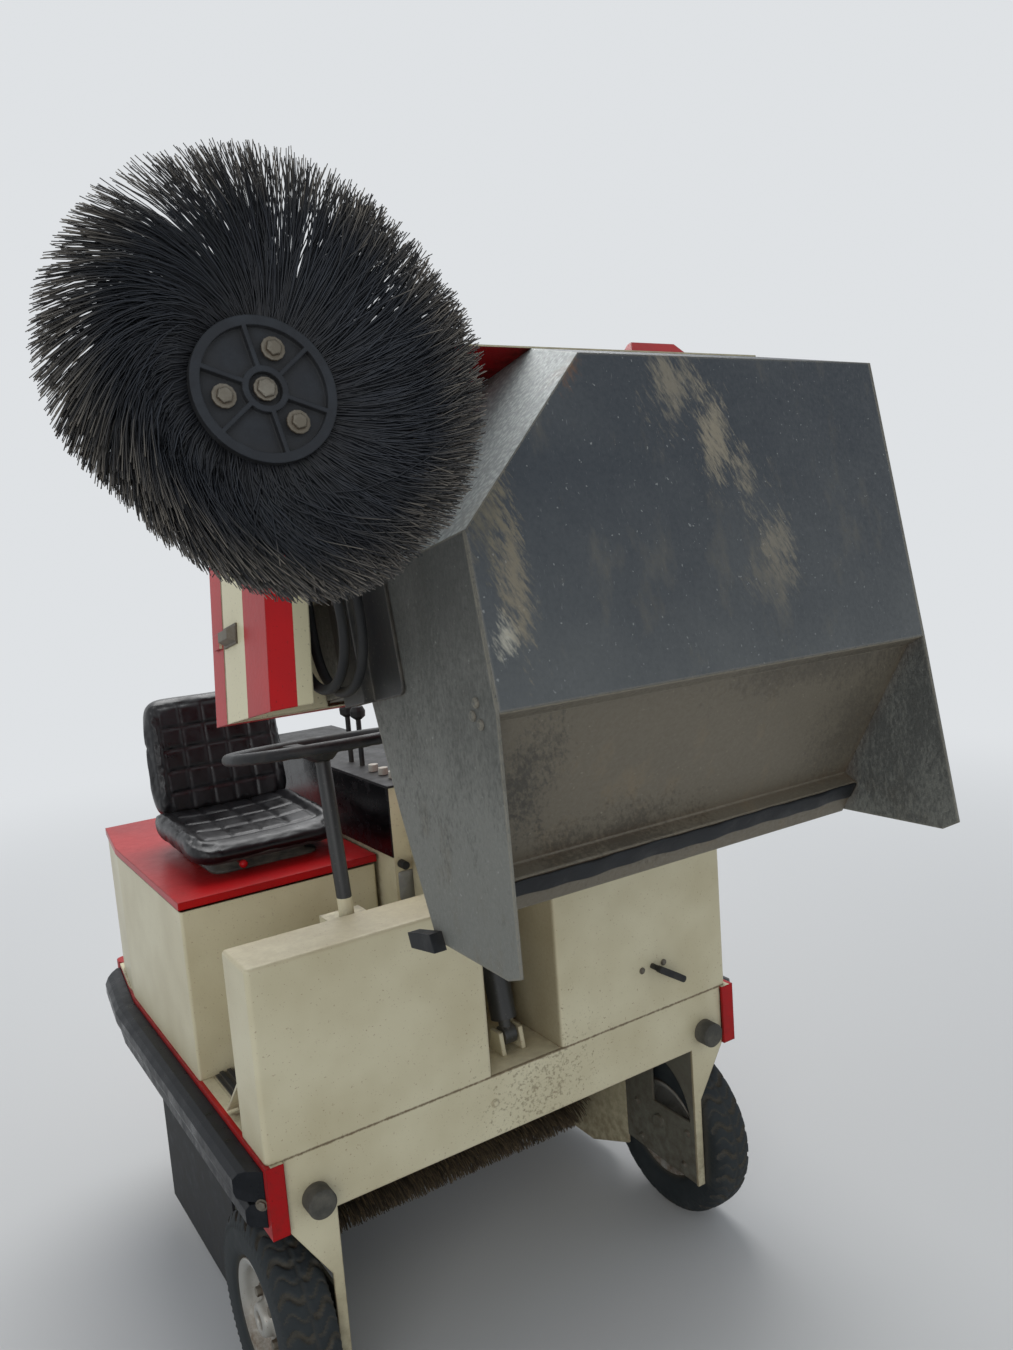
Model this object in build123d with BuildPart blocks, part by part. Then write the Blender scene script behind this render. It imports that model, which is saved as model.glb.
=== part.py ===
from build123d import *
import math
import os

# Compact ride-on road sweeper with its front hopper lifted for emptying.
# Millimetres. The machine's front is -Y, its right-hand side is -X and the ground is Z = 0.
# X = 0 is the centre line and Y = 0 the front face of the front beam. At the end
# everything moves so that the origin is under the middle of the whole machine.
# The hopper and what is on it are drawn in the working position, down in front of the
# beam, and then turned about the lift pivot into the tipped position of the photograph.

os.makedirs("parts", exist_ok=True)
pieces = {}
tipped = []

# Chassis: driving dimensions
BODY_HALF = 528
SIDE_HALF = 561
BEAM_LOW = 473
DECK_TOP = 599
CHANNEL_LOW = 463
KINK_Y = 907
BODY_REAR = 1159
REAR_HALF = 534
STEEL = 6
SHEET = 3
LEG_INNER = 435
LEG_OUTER = 455
LEG_SHOULDER = 347
LEG_TIP = 140
CLEAR = 5

# Wheels
WHEEL_R = 205
TYRE_HALF = 52
RIM_R = 102
WHEEL_X = 513
WHEEL_Y = 153
STEM_Y = 950
REAR_WHEEL_Y = 975

# Lift: one pivot between the front boxes and the console
PIVOT_Y = 238
PIVOT_Z = 1035
LIFT_ANGLE = 101.7
LIFT_AXIS = Axis((0, PIVOT_Y, PIVOT_Z), (1, 0, 0))

# Hopper in the working position
HOPPER_RIGHT = -409
HOPPER_LEFT = 422
FLOOR_Z = 100
FLOOR_REAR = 12
FLOOR_FRONT = -445
HOOD_LOW_Z = 334
HOOD_FRONT = -548
HOOD_REAR = -50
HOOD_TOP = 723
HOOD_EDGE = 455
SIDE_TOP = 610
GRIP_X = (130, 250)
GRIP_Z = 353
GRIP_OUT = 20
WALL = 4

# Sweeping brushes: the roller is drawn raised on its arms
ROLLER_Y = 475
ROLLER_Z = 271
ROLLER_R = 165
ROLLER_HALF = 380
CORE_R = 60
BRUSH_X = -643
BRUSH_Y = -376
BRUSH_R = 246
DISC_R = 82
DISC_Z = 70
PORT_X = BRUSH_X + 40
PORT_Y = BRUSH_Y - 30
HOSE_END_Y = -288


def side_plane(x):
    """Plane facing +X at x, with sketch axes along Y and Z."""
    return Plane(origin=(x, 0, 0), x_dir=(0, 1, 0), z_dir=(1, 0, 0))


def axle_plane(x, y, z):
    """Plane through an axle point, with sketch axes along X and Z."""
    return Plane(origin=(x, y, z), x_dir=(1, 0, 0), z_dir=(0, -1, 0))


# Front beam: one plate with a leg at each end, and a return flange down each leg
with BuildPart() as front_beam:
    with BuildSketch(Plane.XZ):
        with Locations((0, (BEAM_LOW + DECK_TOP) / 2)):
            Rectangle(2 * BODY_HALF, DECK_TOP - BEAM_LOW)
        with BuildLine():
            Polyline(
                (LEG_INNER, BEAM_LOW + STEEL),
                (BODY_HALF, BEAM_LOW + STEEL),
                (BODY_HALF, CHANNEL_LOW),
                (LEG_OUTER, LEG_SHOULDER),
                (LEG_OUTER, LEG_TIP),
                (LEG_INNER, LEG_TIP),
                close=True,
            )
        make_face()
        mirror(about=Plane.YZ)
    extrude(amount=-STEEL)
pieces["front_beam"] = front_beam

# Axle plates behind the legs: a quadrant opening and a boss, and the stub axle outside
PLATE_REAR = 250
PLATE_LOW = 155
OPENING_Y = 147
OPENING_Z = 290
OPENING_R = 128
BOSS_Y = 127
BOSS_Z = 247
with BuildPart() as axle_plates:
    for side in (-1, 1):
        with BuildSketch(side_plane(side * LEG_INNER)):
            with BuildLine():
                Polyline(
                    (STEEL, PLATE_LOW - 12),
                    (PLATE_REAR, PLATE_LOW),
                    (PLATE_REAR, DECK_TOP - STEEL),
                    (STEEL, DECK_TOP - STEEL),
                    close=True,
                )
            make_face()
            with BuildLine():
                Line((OPENING_Y, OPENING_Z), (OPENING_Y, OPENING_Z + OPENING_R))
                CenterArc((OPENING_Y, OPENING_Z), OPENING_R, 90, 90)
                Line((OPENING_Y - OPENING_R, OPENING_Z), (OPENING_Y, OPENING_Z))
            make_face(mode=Mode.SUBTRACT)
        extrude(amount=side * STEEL)
        with BuildSketch(side_plane(side * (LEG_INNER - 8))):
            with Locations((BOSS_Y, BOSS_Z)):
                Circle(16)
        extrude(amount=side * 9)
        with BuildSketch(side_plane(side * (LEG_INNER + STEEL))):
            with Locations((WHEEL_Y, WHEEL_R)):
                Circle(30)
        extrude(amount=side * 8)
        with BuildSketch(side_plane(side * (LEG_INNER + STEEL))):
            with Locations((WHEEL_Y, WHEEL_R)):
                Circle(17)
        extrude(amount=side * 108)
pieces["axle_plates"] = axle_plates

# Side channels: a web that turns in at the kink, and a flange top and bottom
FLANGE = SIDE_HALF - BODY_HALF
with BuildPart() as side_channels:
    for side in (-1, 1):
        with BuildSketch(Plane.XY.offset(CHANNEL_LOW)):
            with BuildLine():
                Polyline(
                    (side * SIDE_HALF, -8),
                    (side * SIDE_HALF, KINK_Y),
                    (side * REAR_HALF, BODY_REAR),
                    (side * (REAR_HALF - STEEL), BODY_REAR),
                    (side * (SIDE_HALF - STEEL), KINK_Y),
                    (side * (SIDE_HALF - STEEL), -2),
                    (side * BODY_HALF, -2),
                    (side * BODY_HALF, -8),
                    close=True,
                )
            make_face()
        extrude(amount=DECK_TOP - CHANNEL_LOW)
        for level in (CHANNEL_LOW, DECK_TOP - STEEL):
            with BuildSketch(Plane.XY.offset(level)):
                with BuildLine():
                    Polyline(
                        (side * SIDE_HALF, -8),
                        (side * SIDE_HALF, KINK_Y),
                        (side * REAR_HALF, BODY_REAR),
                        (side * (REAR_HALF - FLANGE), BODY_REAR),
                        (side * BODY_HALF, KINK_Y),
                        (side * BODY_HALF, -8),
                        close=True,
                    )
                make_face()
            extrude(amount=STEEL)
pieces["side_channels"] = side_channels

# Rear beam with a towing eye under its middle
TOW_Z = 480
TOW_R = 12
with BuildPart() as rear_beam:
    with BuildSketch(Plane.XY.offset(CHANNEL_LOW)):
        with Locations((0, BODY_REAR + 25)):
            RectangleRounded(2 * REAR_HALF, 50, 20)
    extrude(amount=DECK_TOP - CHANNEL_LOW)
    with BuildSketch(Plane.XY.offset(CHANNEL_LOW)):
        with Locations((0, BODY_REAR + 24)):
            Rectangle(2 * REAR_HALF - 24, 40)
    extrude(amount=DECK_TOP - CHANNEL_LOW - STEEL, mode=Mode.SUBTRACT)
pieces["rear_beam"] = rear_beam

with BuildPart() as tow_eye:
    with BuildSketch(Plane.XY.offset(TOW_Z)):
        with BuildLine():
            Line((-30, BODY_REAR + 50), (30, BODY_REAR + 50))
            Line((30, BODY_REAR + 50), (30, BODY_REAR + 85))
            RadiusArc((30, BODY_REAR + 85), (-30, BODY_REAR + 85), -30)
            Line((-30, BODY_REAR + 85), (-30, BODY_REAR + 50))
        make_face()
        with Locations((0, BODY_REAR + 85)):
            Circle(TOW_R, mode=Mode.SUBTRACT)
    extrude(amount=12)
pieces["tow_eye"] = tow_eye

# Deck plate, with a hole for the steering stem
with BuildPart() as deck:
    with BuildSketch(Plane.XY.offset(DECK_TOP - STEEL)):
        with BuildLine():
            Polyline(
                (BODY_HALF, STEEL),
                (BODY_HALF, KINK_Y),
                (REAR_HALF - FLANGE, BODY_REAR),
                (FLANGE - REAR_HALF, BODY_REAR),
                (-BODY_HALF, KINK_Y),
                (-BODY_HALF, STEEL),
                close=True,
            )
        make_face()
        with Locations((0, STEM_Y)):
            Circle(40, mode=Mode.SUBTRACT)
    extrude(amount=STEEL)
pieces["deck"] = deck

# Front boxes, each a folded sheet case standing on the deck behind the beam
BOX_TOP = 958
BOX_DEPTH = 129
for name, x_low, x_high, y_high in (
    ("steering_box", -557, -87, BOX_DEPTH),
    ("tank_box", 83, 547, BOX_DEPTH + 110),
):
    with BuildPart() as front_box:
        with BuildSketch(Plane.XY.offset(DECK_TOP)):
            with Locations(((x_low + x_high) / 2, y_high / 2)):
                Rectangle(x_high - x_low, y_high)
        extrude(amount=BOX_TOP - DECK_TOP)
        fillet(front_box.edges().filter_by(Axis.Z), 10)
        fillet(front_box.faces().sort_by(Axis.Z)[-1].edges(), 8)
        with BuildSketch(Plane.XY.offset(DECK_TOP)):
            with Locations(((x_low + x_high) / 2, y_high / 2)):
                RectangleRounded(x_high - x_low - 2 * SHEET, y_high - 2 * SHEET, 7)
        extrude(amount=BOX_TOP - DECK_TOP - SHEET, mode=Mode.SUBTRACT)
    pieces[name] = front_box

# Rubber buffers on the beam, which the lowered hood rests close to
BUFFER_X = 473
BUFFER_Z = 509
with BuildPart() as buffers:
    with BuildSketch(Plane.XZ):
        with Locations((-BUFFER_X, BUFFER_Z), (BUFFER_X, BUFFER_Z)):
            Circle(27)
    extrude(amount=36)
    chamfer(buffers.faces().sort_by(Axis.Y)[:2].edges(), 4)
pieces["buffers"] = buffers

# Bumpers: a two-lobed rubber section along each channel, cut off obliquely in front
BUMPER_LOW = 482
BUMPER_TOP = 588
BUMPER_SECTION = (
    # distance out from the channel, height
    (0.3, BUMPER_LOW),
    (26, BUMPER_LOW),
    (31, 490),
    (31, 514),
    (24, 524),
    (14, 527),
    (14, 531),
    (30, 532),
    (42, 538),
    (45, 548),
    (45, 572),
    (36, 584),
    (24, BUMPER_TOP),
    (0.3, BUMPER_TOP),
)
with BuildPart() as side_bumpers:
    for side in (-1, 1):
        with BuildLine() as bumper_line:
            Polyline(
                (side * SIDE_HALF, 0, 0),
                (side * SIDE_HALF, KINK_Y, 0),
                (side * REAR_HALF, BODY_REAR, 0),
            )
        with BuildSketch(Plane.XZ):
            with BuildLine():
                Polyline(*[(side * (SIDE_HALF + out), z) for out, z in BUMPER_SECTION], close=True)
            make_face()
        sweep(path=bumper_line.line, transition=Transition.RIGHT)
        with BuildSketch(Plane.XY.offset(BUMPER_LOW)):
            with BuildLine():
                Polyline(
                    (side * (SIDE_HALF - 5), -5),
                    (side * (SIDE_HALF + 60), -5),
                    (side * (SIDE_HALF + 60), 58),
                    (side * (SIDE_HALF - 5), 4),
                    close=True,
                )
            make_face()
            with BuildLine():
                Polyline(
                    (side * (REAR_HALF + 60), BODY_REAR - 60),
                    (side * (REAR_HALF + 60), BODY_REAR + 10),
                    (side * (REAR_HALF + 2), BODY_REAR + 10),
                    close=True,
                )
            make_face()
        extrude(amount=BUMPER_TOP - BUMPER_LOW, mode=Mode.SUBTRACT)
pieces["side_bumpers"] = side_bumpers

# Side skirts of rubberised sheet behind the front wheels
SKIRT_X = 515
SKIRT_FRONT = WHEEL_Y + WHEEL_R + 25
with BuildPart() as side_skirts:
    for side in (-1, 1):
        with BuildSketch(side_plane(side * SKIRT_X)):
            with BuildLine():
                Polyline(
                    (SKIRT_FRONT, 120),
                    (SKIRT_FRONT + 60, 60),
                    (KINK_Y, 60),
                    (KINK_Y, CHANNEL_LOW + 100),
                    (SKIRT_FRONT - 60, CHANNEL_LOW + 100),
                    (SKIRT_FRONT - 60, CHANNEL_LOW - 20),
                    (SKIRT_FRONT, CHANNEL_LOW - 60),
                    close=True,
                )
            make_face()
        extrude(amount=side * STEEL)
pieces["side_skirts"] = side_skirts

# Seat box: folded sheet with a tapered rear corner, and a hinged lid that carries the seat
SEAT_BOX_OUT = -557
SEAT_BOX_IN = -124
SEAT_BOX_FRONT = 380
SEAT_BOX_REAR = 1120
SEAT_BOX_TOP = 958
SEAT_BOX_TAPER = 26
LID_TOP = 979
LID_BOTTOM = SEAT_BOX_TOP + CLEAR


def seat_box_outline(inset):
    """Plan of the seat box, drawn inset from its outer faces."""
    return [
        (SEAT_BOX_OUT + inset, SEAT_BOX_FRONT + inset),
        (SEAT_BOX_IN - inset, SEAT_BOX_FRONT + inset),
        (SEAT_BOX_IN - inset, SEAT_BOX_REAR - inset),
        (SEAT_BOX_OUT + SEAT_BOX_TAPER + inset, SEAT_BOX_REAR - inset),
        (SEAT_BOX_OUT + inset, KINK_Y),
    ]


with BuildPart() as seat_box:
    with BuildSketch(Plane.XY.offset(DECK_TOP)):
        with BuildLine():
            Polyline(*seat_box_outline(0), close=True)
        make_face()
    extrude(amount=SEAT_BOX_TOP - DECK_TOP)
    fillet(seat_box.edges().filter_by(Axis.Z), 6)
    with BuildSketch(Plane.XY.offset(DECK_TOP)):
        with BuildLine():
            Polyline(*seat_box_outline(SHEET), close=True)
        make_face()
    extrude(amount=SEAT_BOX_TOP - DECK_TOP, mode=Mode.SUBTRACT)
pieces["seat_box"] = seat_box

with BuildPart() as seat_lid:
    with BuildSketch(Plane.XY.offset(LID_BOTTOM)):
        with BuildLine():
            Polyline(*seat_box_outline(-3), close=True)
        make_face()
    extrude(amount=LID_TOP - LID_BOTTOM)
    with BuildSketch(Plane.XY.offset(LID_BOTTOM)):
        with BuildLine():
            Polyline(*seat_box_outline(0), close=True)
        make_face()
    extrude(amount=LID_TOP - LID_BOTTOM - SHEET, mode=Mode.SUBTRACT)
pieces["seat_lid"] = seat_lid

# Seat: a vinyl cushion with rolled sides and a low back, on a low frame bolted to the lid
SEAT_X = -308
SEAT_HALF = 184
SEAT_FRONT = 418
SEAT_DEPTH = 400
SEAT_REAR = SEAT_FRONT + SEAT_DEPTH
FRAME_TOP = LID_TOP + 18
CUSHION_TOP = 1068
BACK_TOP = 1345
SEAT_ROLL = 22
with BuildPart() as seat_cushion:
    with BuildSketch(side_plane(SEAT_X - SEAT_HALF)):
        with BuildLine():
            Polyline(
                (SEAT_FRONT + 25, FRAME_TOP),
                (SEAT_FRONT, LID_TOP + 40),
                (SEAT_FRONT + 12, CUSHION_TOP - 4),
                (SEAT_FRONT + 60, CUSHION_TOP + 4),
                (SEAT_REAR, CUSHION_TOP - 14),
                (SEAT_REAR, FRAME_TOP),
                close=True,
            )
        make_face()
    extrude(amount=2 * SEAT_HALF)
    for cushion_end in (0, -1):
        end_face = seat_cushion.faces().sort_by(Axis.X)[cushion_end]
        chamfer(end_face.edges().sort_by(Axis.Z)[-3:], SEAT_ROLL)
    with BuildSketch(Plane.XY.offset(LID_TOP)):
        with Locations((SEAT_X, SEAT_FRONT + SEAT_DEPTH / 2 + 20)):
            Rectangle(2 * SEAT_HALF - 90, SEAT_DEPTH - 90)
            Rectangle(2 * SEAT_HALF - 150, SEAT_DEPTH - 150, mode=Mode.SUBTRACT)
    extrude(amount=FRAME_TOP - LID_TOP)
pieces["seat_cushion"] = seat_cushion

with BuildPart() as seat_back:
    with BuildSketch(side_plane(SEAT_X - SEAT_HALF + 12)):
        with BuildLine():
            Polyline(
                (SEAT_REAR - 30, CUSHION_TOP - 6),
                (SEAT_REAR + 26, BACK_TOP - 14),
                (SEAT_REAR + 40, BACK_TOP),
                (SEAT_REAR + 72, BACK_TOP - 6),
                (SEAT_REAR + 78, BACK_TOP - 30),
                (SEAT_REAR + 34, LID_TOP),
                (SEAT_REAR + 0.5, LID_TOP),
                (SEAT_REAR + 0.5, CUSHION_TOP - 6),
                close=True,
            )
        make_face()
    extrude(amount=2 * (SEAT_HALF - 12))
    chamfer(seat_back.edges().filter_by(Axis.Y, tolerance=20).sort_by(Axis.Z)[-2:], SEAT_ROLL)
pieces["seat_back"] = seat_back

# Foot space: a ribbed rubber mat, a sloping footrest and two pedals
MAT_TOP = DECK_TOP + 8
RIB_PITCH = 16
with BuildPart() as floor_mat:
    with BuildSketch(Plane.XY.offset(DECK_TOP)):
        with Locations(((SEAT_BOX_OUT + SEAT_BOX_IN) / 2 + 12, (BOX_DEPTH + SEAT_BOX_FRONT) / 2)):
            Rectangle(SEAT_BOX_IN - SEAT_BOX_OUT - 40, SEAT_BOX_FRONT - BOX_DEPTH - 6)
    extrude(amount=4)
    with BuildSketch(Plane.XY.offset(DECK_TOP + 4)):
        with Locations(((SEAT_BOX_OUT + SEAT_BOX_IN) / 2 + 12, (BOX_DEPTH + SEAT_BOX_FRONT) / 2)):
            with GridLocations(RIB_PITCH, 1, 24, 1):
                Rectangle(RIB_PITCH / 2, SEAT_BOX_FRONT - BOX_DEPTH - 6)
    extrude(amount=4)
pieces["floor_mat"] = floor_mat

FOOTREST_X = -553
FOOTREST_WIDTH = 150
with BuildPart() as footrest:
    with BuildSketch(side_plane(FOOTREST_X)):
        with BuildLine():
            Polyline(
                (BOX_DEPTH, DECK_TOP + 104),
                (BOX_DEPTH + 92, MAT_TOP),
                (BOX_DEPTH + 86, MAT_TOP),
                (BOX_DEPTH, DECK_TOP + 96),
                close=True,
            )
        make_face()
    extrude(amount=FOOTREST_WIDTH)
    for gusset_x in (FOOTREST_X + 20, FOOTREST_X + FOOTREST_WIDTH - 24):
        with BuildSketch(side_plane(gusset_x)):
            with BuildLine():
                Polyline(
                    (BOX_DEPTH, DECK_TOP + 97),
                    (BOX_DEPTH + 87, MAT_TOP),
                    (BOX_DEPTH, MAT_TOP),
                    close=True,
                )
            make_face()
        extrude(amount=4)
pieces["footrest"] = footrest

with BuildPart() as controls:
    for x in (-330, -220):
        with BuildSketch(side_plane(x - 32)):
            with BuildLine():
                Polyline(
                    (BOX_DEPTH + 90, MAT_TOP + 60),
                    (BOX_DEPTH + 96, MAT_TOP + 66),
                    (BOX_DEPTH + 40, MAT_TOP + 130),
                    (BOX_DEPTH + 34, MAT_TOP + 124),
                    close=True,
                )
            make_face()
        extrude(amount=64)
        with BuildSketch(side_plane(x - 6)):
            with BuildLine():
                Polyline(
                    (BOX_DEPTH, MAT_TOP + 84),
                    (BOX_DEPTH + 76, MAT_TOP + 84),
                    (BOX_DEPTH + 68, MAT_TOP + 94),
                    (BOX_DEPTH, MAT_TOP + 94),
                    close=True,
                )
            make_face()
        extrude(amount=12)
pieces["controls"] = controls

# Steering: a valve block behind the steering box, a tube leaning back, a spoked wheel
COLUMN_X = -296
COLUMN_Y = 156
COLUMN_Z = 945
COLUMN_LEAN = 8.9
COLUMN_LENGTH = 325
COLUMN_R = 15
WHEEL_RIM_R = 190
column_plane = Plane(origin=(COLUMN_X, COLUMN_Y, COLUMN_Z), x_dir=(1, 0, 0),
                     z_dir=(0, math.sin(math.radians(COLUMN_LEAN)),
                            math.cos(math.radians(COLUMN_LEAN))))
with BuildPart() as steering_column:
    with BuildSketch(Plane.XY.offset(COLUMN_Z - 95)):
        with Locations((COLUMN_X, BOX_DEPTH + 33)):
            Rectangle(84, 66)
    extrude(amount=95)
    with BuildSketch(column_plane.offset(-20)):
        Circle(COLUMN_R)
    extrude(amount=COLUMN_LENGTH)
pieces["steering_column"] = steering_column

# Steering wheel: a dished hub, three spokes rising from it and a faceted rim
hub_plane = column_plane.offset(COLUMN_LENGTH - 17)
GRIP_SIDES = 36
GRIP_LEVELS = (
    # height over the hub's foot, outer radius, inner radius
    (16, WHEEL_RIM_R - 7, WHEEL_RIM_R - 19),
    (23, WHEEL_RIM_R, WHEEL_RIM_R - 26),
    (35, WHEEL_RIM_R, WHEEL_RIM_R - 26),
    (42, WHEEL_RIM_R - 7, WHEEL_RIM_R - 19),
)
with BuildPart() as steering_wheel:
    for height, outer, inner in GRIP_LEVELS:
        with BuildSketch(hub_plane.offset(height)):
            RegularPolygon(outer, GRIP_SIDES)
    loft(ruled=True)
    for height, outer, inner in GRIP_LEVELS:
        with BuildSketch(hub_plane.offset(height)):
            RegularPolygon(inner, GRIP_SIDES)
    loft(ruled=True, mode=Mode.SUBTRACT)
    with BuildSketch(hub_plane):
        Circle(24)
    with BuildSketch(hub_plane.offset(14)):
        Circle(37)
    loft(ruled=True)
    with BuildSketch(hub_plane.offset(14)):
        Circle(37)
    extrude(amount=12)
    for spoke in (90, 210, 330):
        along = hub_plane.x_dir.rotate(Axis((0, 0, 0), hub_plane.z_dir), spoke)
        with BuildSketch(Plane(origin=hub_plane.origin, x_dir=along,
                               z_dir=along.cross(hub_plane.z_dir))):
            with BuildLine():
                Polyline(
                    (25, 4),
                    (60, 12),
                    (WHEEL_RIM_R - 14, 24),
                    (WHEEL_RIM_R - 14, 33),
                    (60, 24),
                    (25, 22),
                    close=True,
                )
            make_face()
        extrude(amount=14, both=True)
pieces["steering_wheel"] = steering_wheel

# Console between the seat and the engine: cream case, gloss black side panel, grey top
CONSOLE_HALF = 115
CONSOLE_FRONT = 300
CONSOLE_TOP = 1140
with BuildPart() as console:
    with BuildSketch(Plane.XY.offset(DECK_TOP)):
        with Locations((0, (CONSOLE_FRONT + SEAT_BOX_REAR) / 2)):
            Rectangle(2 * CONSOLE_HALF, SEAT_BOX_REAR - CONSOLE_FRONT)
    extrude(amount=CONSOLE_TOP - DECK_TOP)
    with BuildSketch(Plane.XY.offset(DECK_TOP)):
        with Locations((0, (CONSOLE_FRONT + SEAT_BOX_REAR) / 2)):
            Rectangle(2 * CONSOLE_HALF - 2 * SHEET, SEAT_BOX_REAR - CONSOLE_FRONT - 2 * SHEET)
    extrude(amount=CONSOLE_TOP - DECK_TOP - SHEET, mode=Mode.SUBTRACT)
pieces["console"] = console

with BuildPart() as console_side:
    with BuildSketch(side_plane(-CONSOLE_HALF)):
        with Locations(((CONSOLE_FRONT + SEAT_BOX_REAR) / 2, (LID_TOP + 8 + CONSOLE_TOP) / 2)):
            Rectangle(SEAT_BOX_REAR - CONSOLE_FRONT, CONSOLE_TOP - LID_TOP - 8)
    extrude(amount=-SHEET)
pieces["console_side"] = console_side

with BuildPart() as instrument_panel:
    with BuildSketch(Plane.XY.offset(CONSOLE_TOP)):
        with Locations((0, (CONSOLE_FRONT + SEAT_BOX_REAR) / 2)):
            Rectangle(2 * CONSOLE_HALF + 6, SEAT_BOX_REAR - CONSOLE_FRONT + 6)
    extrude(amount=5)
    with BuildSketch(Plane.XY.offset(CONSOLE_TOP + 5)):
        with Locations((-70, 360), (-70, 410), (-70, 460), (-20, 360)):
            Circle(11)
    extrude(amount=16)
pieces["instrument_panel"] = instrument_panel

KNOB_LEVELS = ((0, 8), (7, 17), (20, 18), (30, 13), (35, 5))
with BuildPart() as control_levers:
    for y in (540, 600):
        with BuildSketch(Plane.XY.offset(CONSOLE_TOP + 5)):
            with Locations((-60, y)):
                Circle(6)
        extrude(amount=112)
        for height, radius in KNOB_LEVELS:
            with BuildSketch(Plane.XY.offset(CONSOLE_TOP + 115 + height)):
                with Locations((-60, y)):
                    RegularPolygon(radius, 12)
        loft(ruled=True)
pieces["control_levers"] = control_levers

# Small handles: a lever on a short spindle out of the tank box, and the lid's catch
LEVER_X = 334
LEVER_Z = 705
LEVER_LENGTH = 84
LEVER_DROP = -32
with BuildPart() as handles:
    with BuildSketch(Plane.XZ):
        with Locations((LEVER_X, LEVER_Z)):
            Circle(6)
    extrude(amount=24)
    with BuildSketch(Plane.XZ.offset(22)):
        with Locations(Location((LEVER_X, LEVER_Z, 0), (0, 0, LEVER_DROP))):
            with Locations((LEVER_LENGTH / 2 - 8, 0)):
                RectangleRounded(LEVER_LENGTH, 15, 7)
    extrude(amount=13)
    with BuildSketch(Plane.XZ.offset(-CONSOLE_FRONT)):
        with Locations((-100, LID_TOP - 8)):
            Circle(9)
    extrude(amount=24)
pieces["handles"] = handles

# Engine bay on the left: open-topped cream case, engine block and a red hood
ENGINE_IN = 127
ENGINE_OUT = 547
ENGINE_CASE_TOP = 880
HOOD_SPLIT = ENGINE_CASE_TOP + CLEAR
ENGINE_HOOD_TOP = 1062
with BuildPart() as engine_case:
    with BuildSketch(Plane.XY.offset(DECK_TOP)):
        with Locations(((ENGINE_IN + ENGINE_OUT) / 2, (CONSOLE_FRONT + SEAT_BOX_REAR) / 2)):
            Rectangle(ENGINE_OUT - ENGINE_IN, SEAT_BOX_REAR - CONSOLE_FRONT)
            Rectangle(
                ENGINE_OUT - ENGINE_IN - 2 * SHEET,
                SEAT_BOX_REAR - CONSOLE_FRONT - 2 * SHEET,
                mode=Mode.SUBTRACT,
            )
    extrude(amount=ENGINE_CASE_TOP - DECK_TOP)
pieces["engine_case"] = engine_case

with BuildPart() as engine_hood:
    with BuildSketch(Plane.XY.offset(HOOD_SPLIT)):
        with Locations(((ENGINE_IN + ENGINE_OUT) / 2, (CONSOLE_FRONT + SEAT_BOX_REAR) / 2)):
            Rectangle(ENGINE_OUT - ENGINE_IN, SEAT_BOX_REAR - CONSOLE_FRONT)
    extrude(amount=ENGINE_HOOD_TOP - HOOD_SPLIT)
    chamfer(engine_hood.faces().sort_by(Axis.Z)[-1].edges(), 4)
    with BuildSketch(Plane.XY.offset(HOOD_SPLIT)):
        with Locations(((ENGINE_IN + ENGINE_OUT) / 2, (CONSOLE_FRONT + SEAT_BOX_REAR) / 2)):
            Rectangle(
                ENGINE_OUT - ENGINE_IN - 2 * SHEET, SEAT_BOX_REAR - CONSOLE_FRONT - 2 * SHEET
            )
    extrude(amount=ENGINE_HOOD_TOP - HOOD_SPLIT - SHEET, mode=Mode.SUBTRACT)
pieces["engine_hood"] = engine_hood

with BuildPart() as engine_block:
    with BuildSketch(Plane.XY.offset(DECK_TOP)):
        with Locations(((ENGINE_IN + ENGINE_OUT) / 2 + 10, 760)):
            RectangleRounded(300, 420, 20)
    extrude(amount=270)
pieces["engine_block"] = engine_block

# Lift pivot bracket: two cheeks and a back plate, with the fixed shaft across them
CHEEK_IN = 62
CHEEK = 12
SHAFT_R = 18
with BuildPart() as pivot_bracket:
    for side in (-1, 1):
        with BuildSketch(side_plane(side * CHEEK_IN)):
            with BuildLine():
                Polyline(
                    (CONSOLE_FRONT, DECK_TOP),
                    (CONSOLE_FRONT, PIVOT_Z + 60),
                    (PIVOT_Y + 10, PIVOT_Z + 60),
                    (PIVOT_Y - 45, PIVOT_Z + 20),
                    (PIVOT_Y - 45, PIVOT_Z - 60),
                    (PIVOT_Y - 70, DECK_TOP),
                    close=True,
                )
            make_face()
        extrude(amount=side * CHEEK)
    with BuildSketch(side_plane(-CHEEK_IN)):
        with Locations((CONSOLE_FRONT - 5, (DECK_TOP + PIVOT_Z - 90) / 2)):
            Rectangle(10, PIVOT_Z - 90 - DECK_TOP)
    extrude(amount=2 * CHEEK_IN)
    with BuildSketch(side_plane(-CHEEK_IN - CHEEK - 8)):
        with Locations((PIVOT_Y, PIVOT_Z)):
            Circle(SHAFT_R)
    extrude(amount=2 * (CHEEK_IN + CHEEK + 8))
pieces["pivot_bracket"] = pivot_bracket

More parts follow.
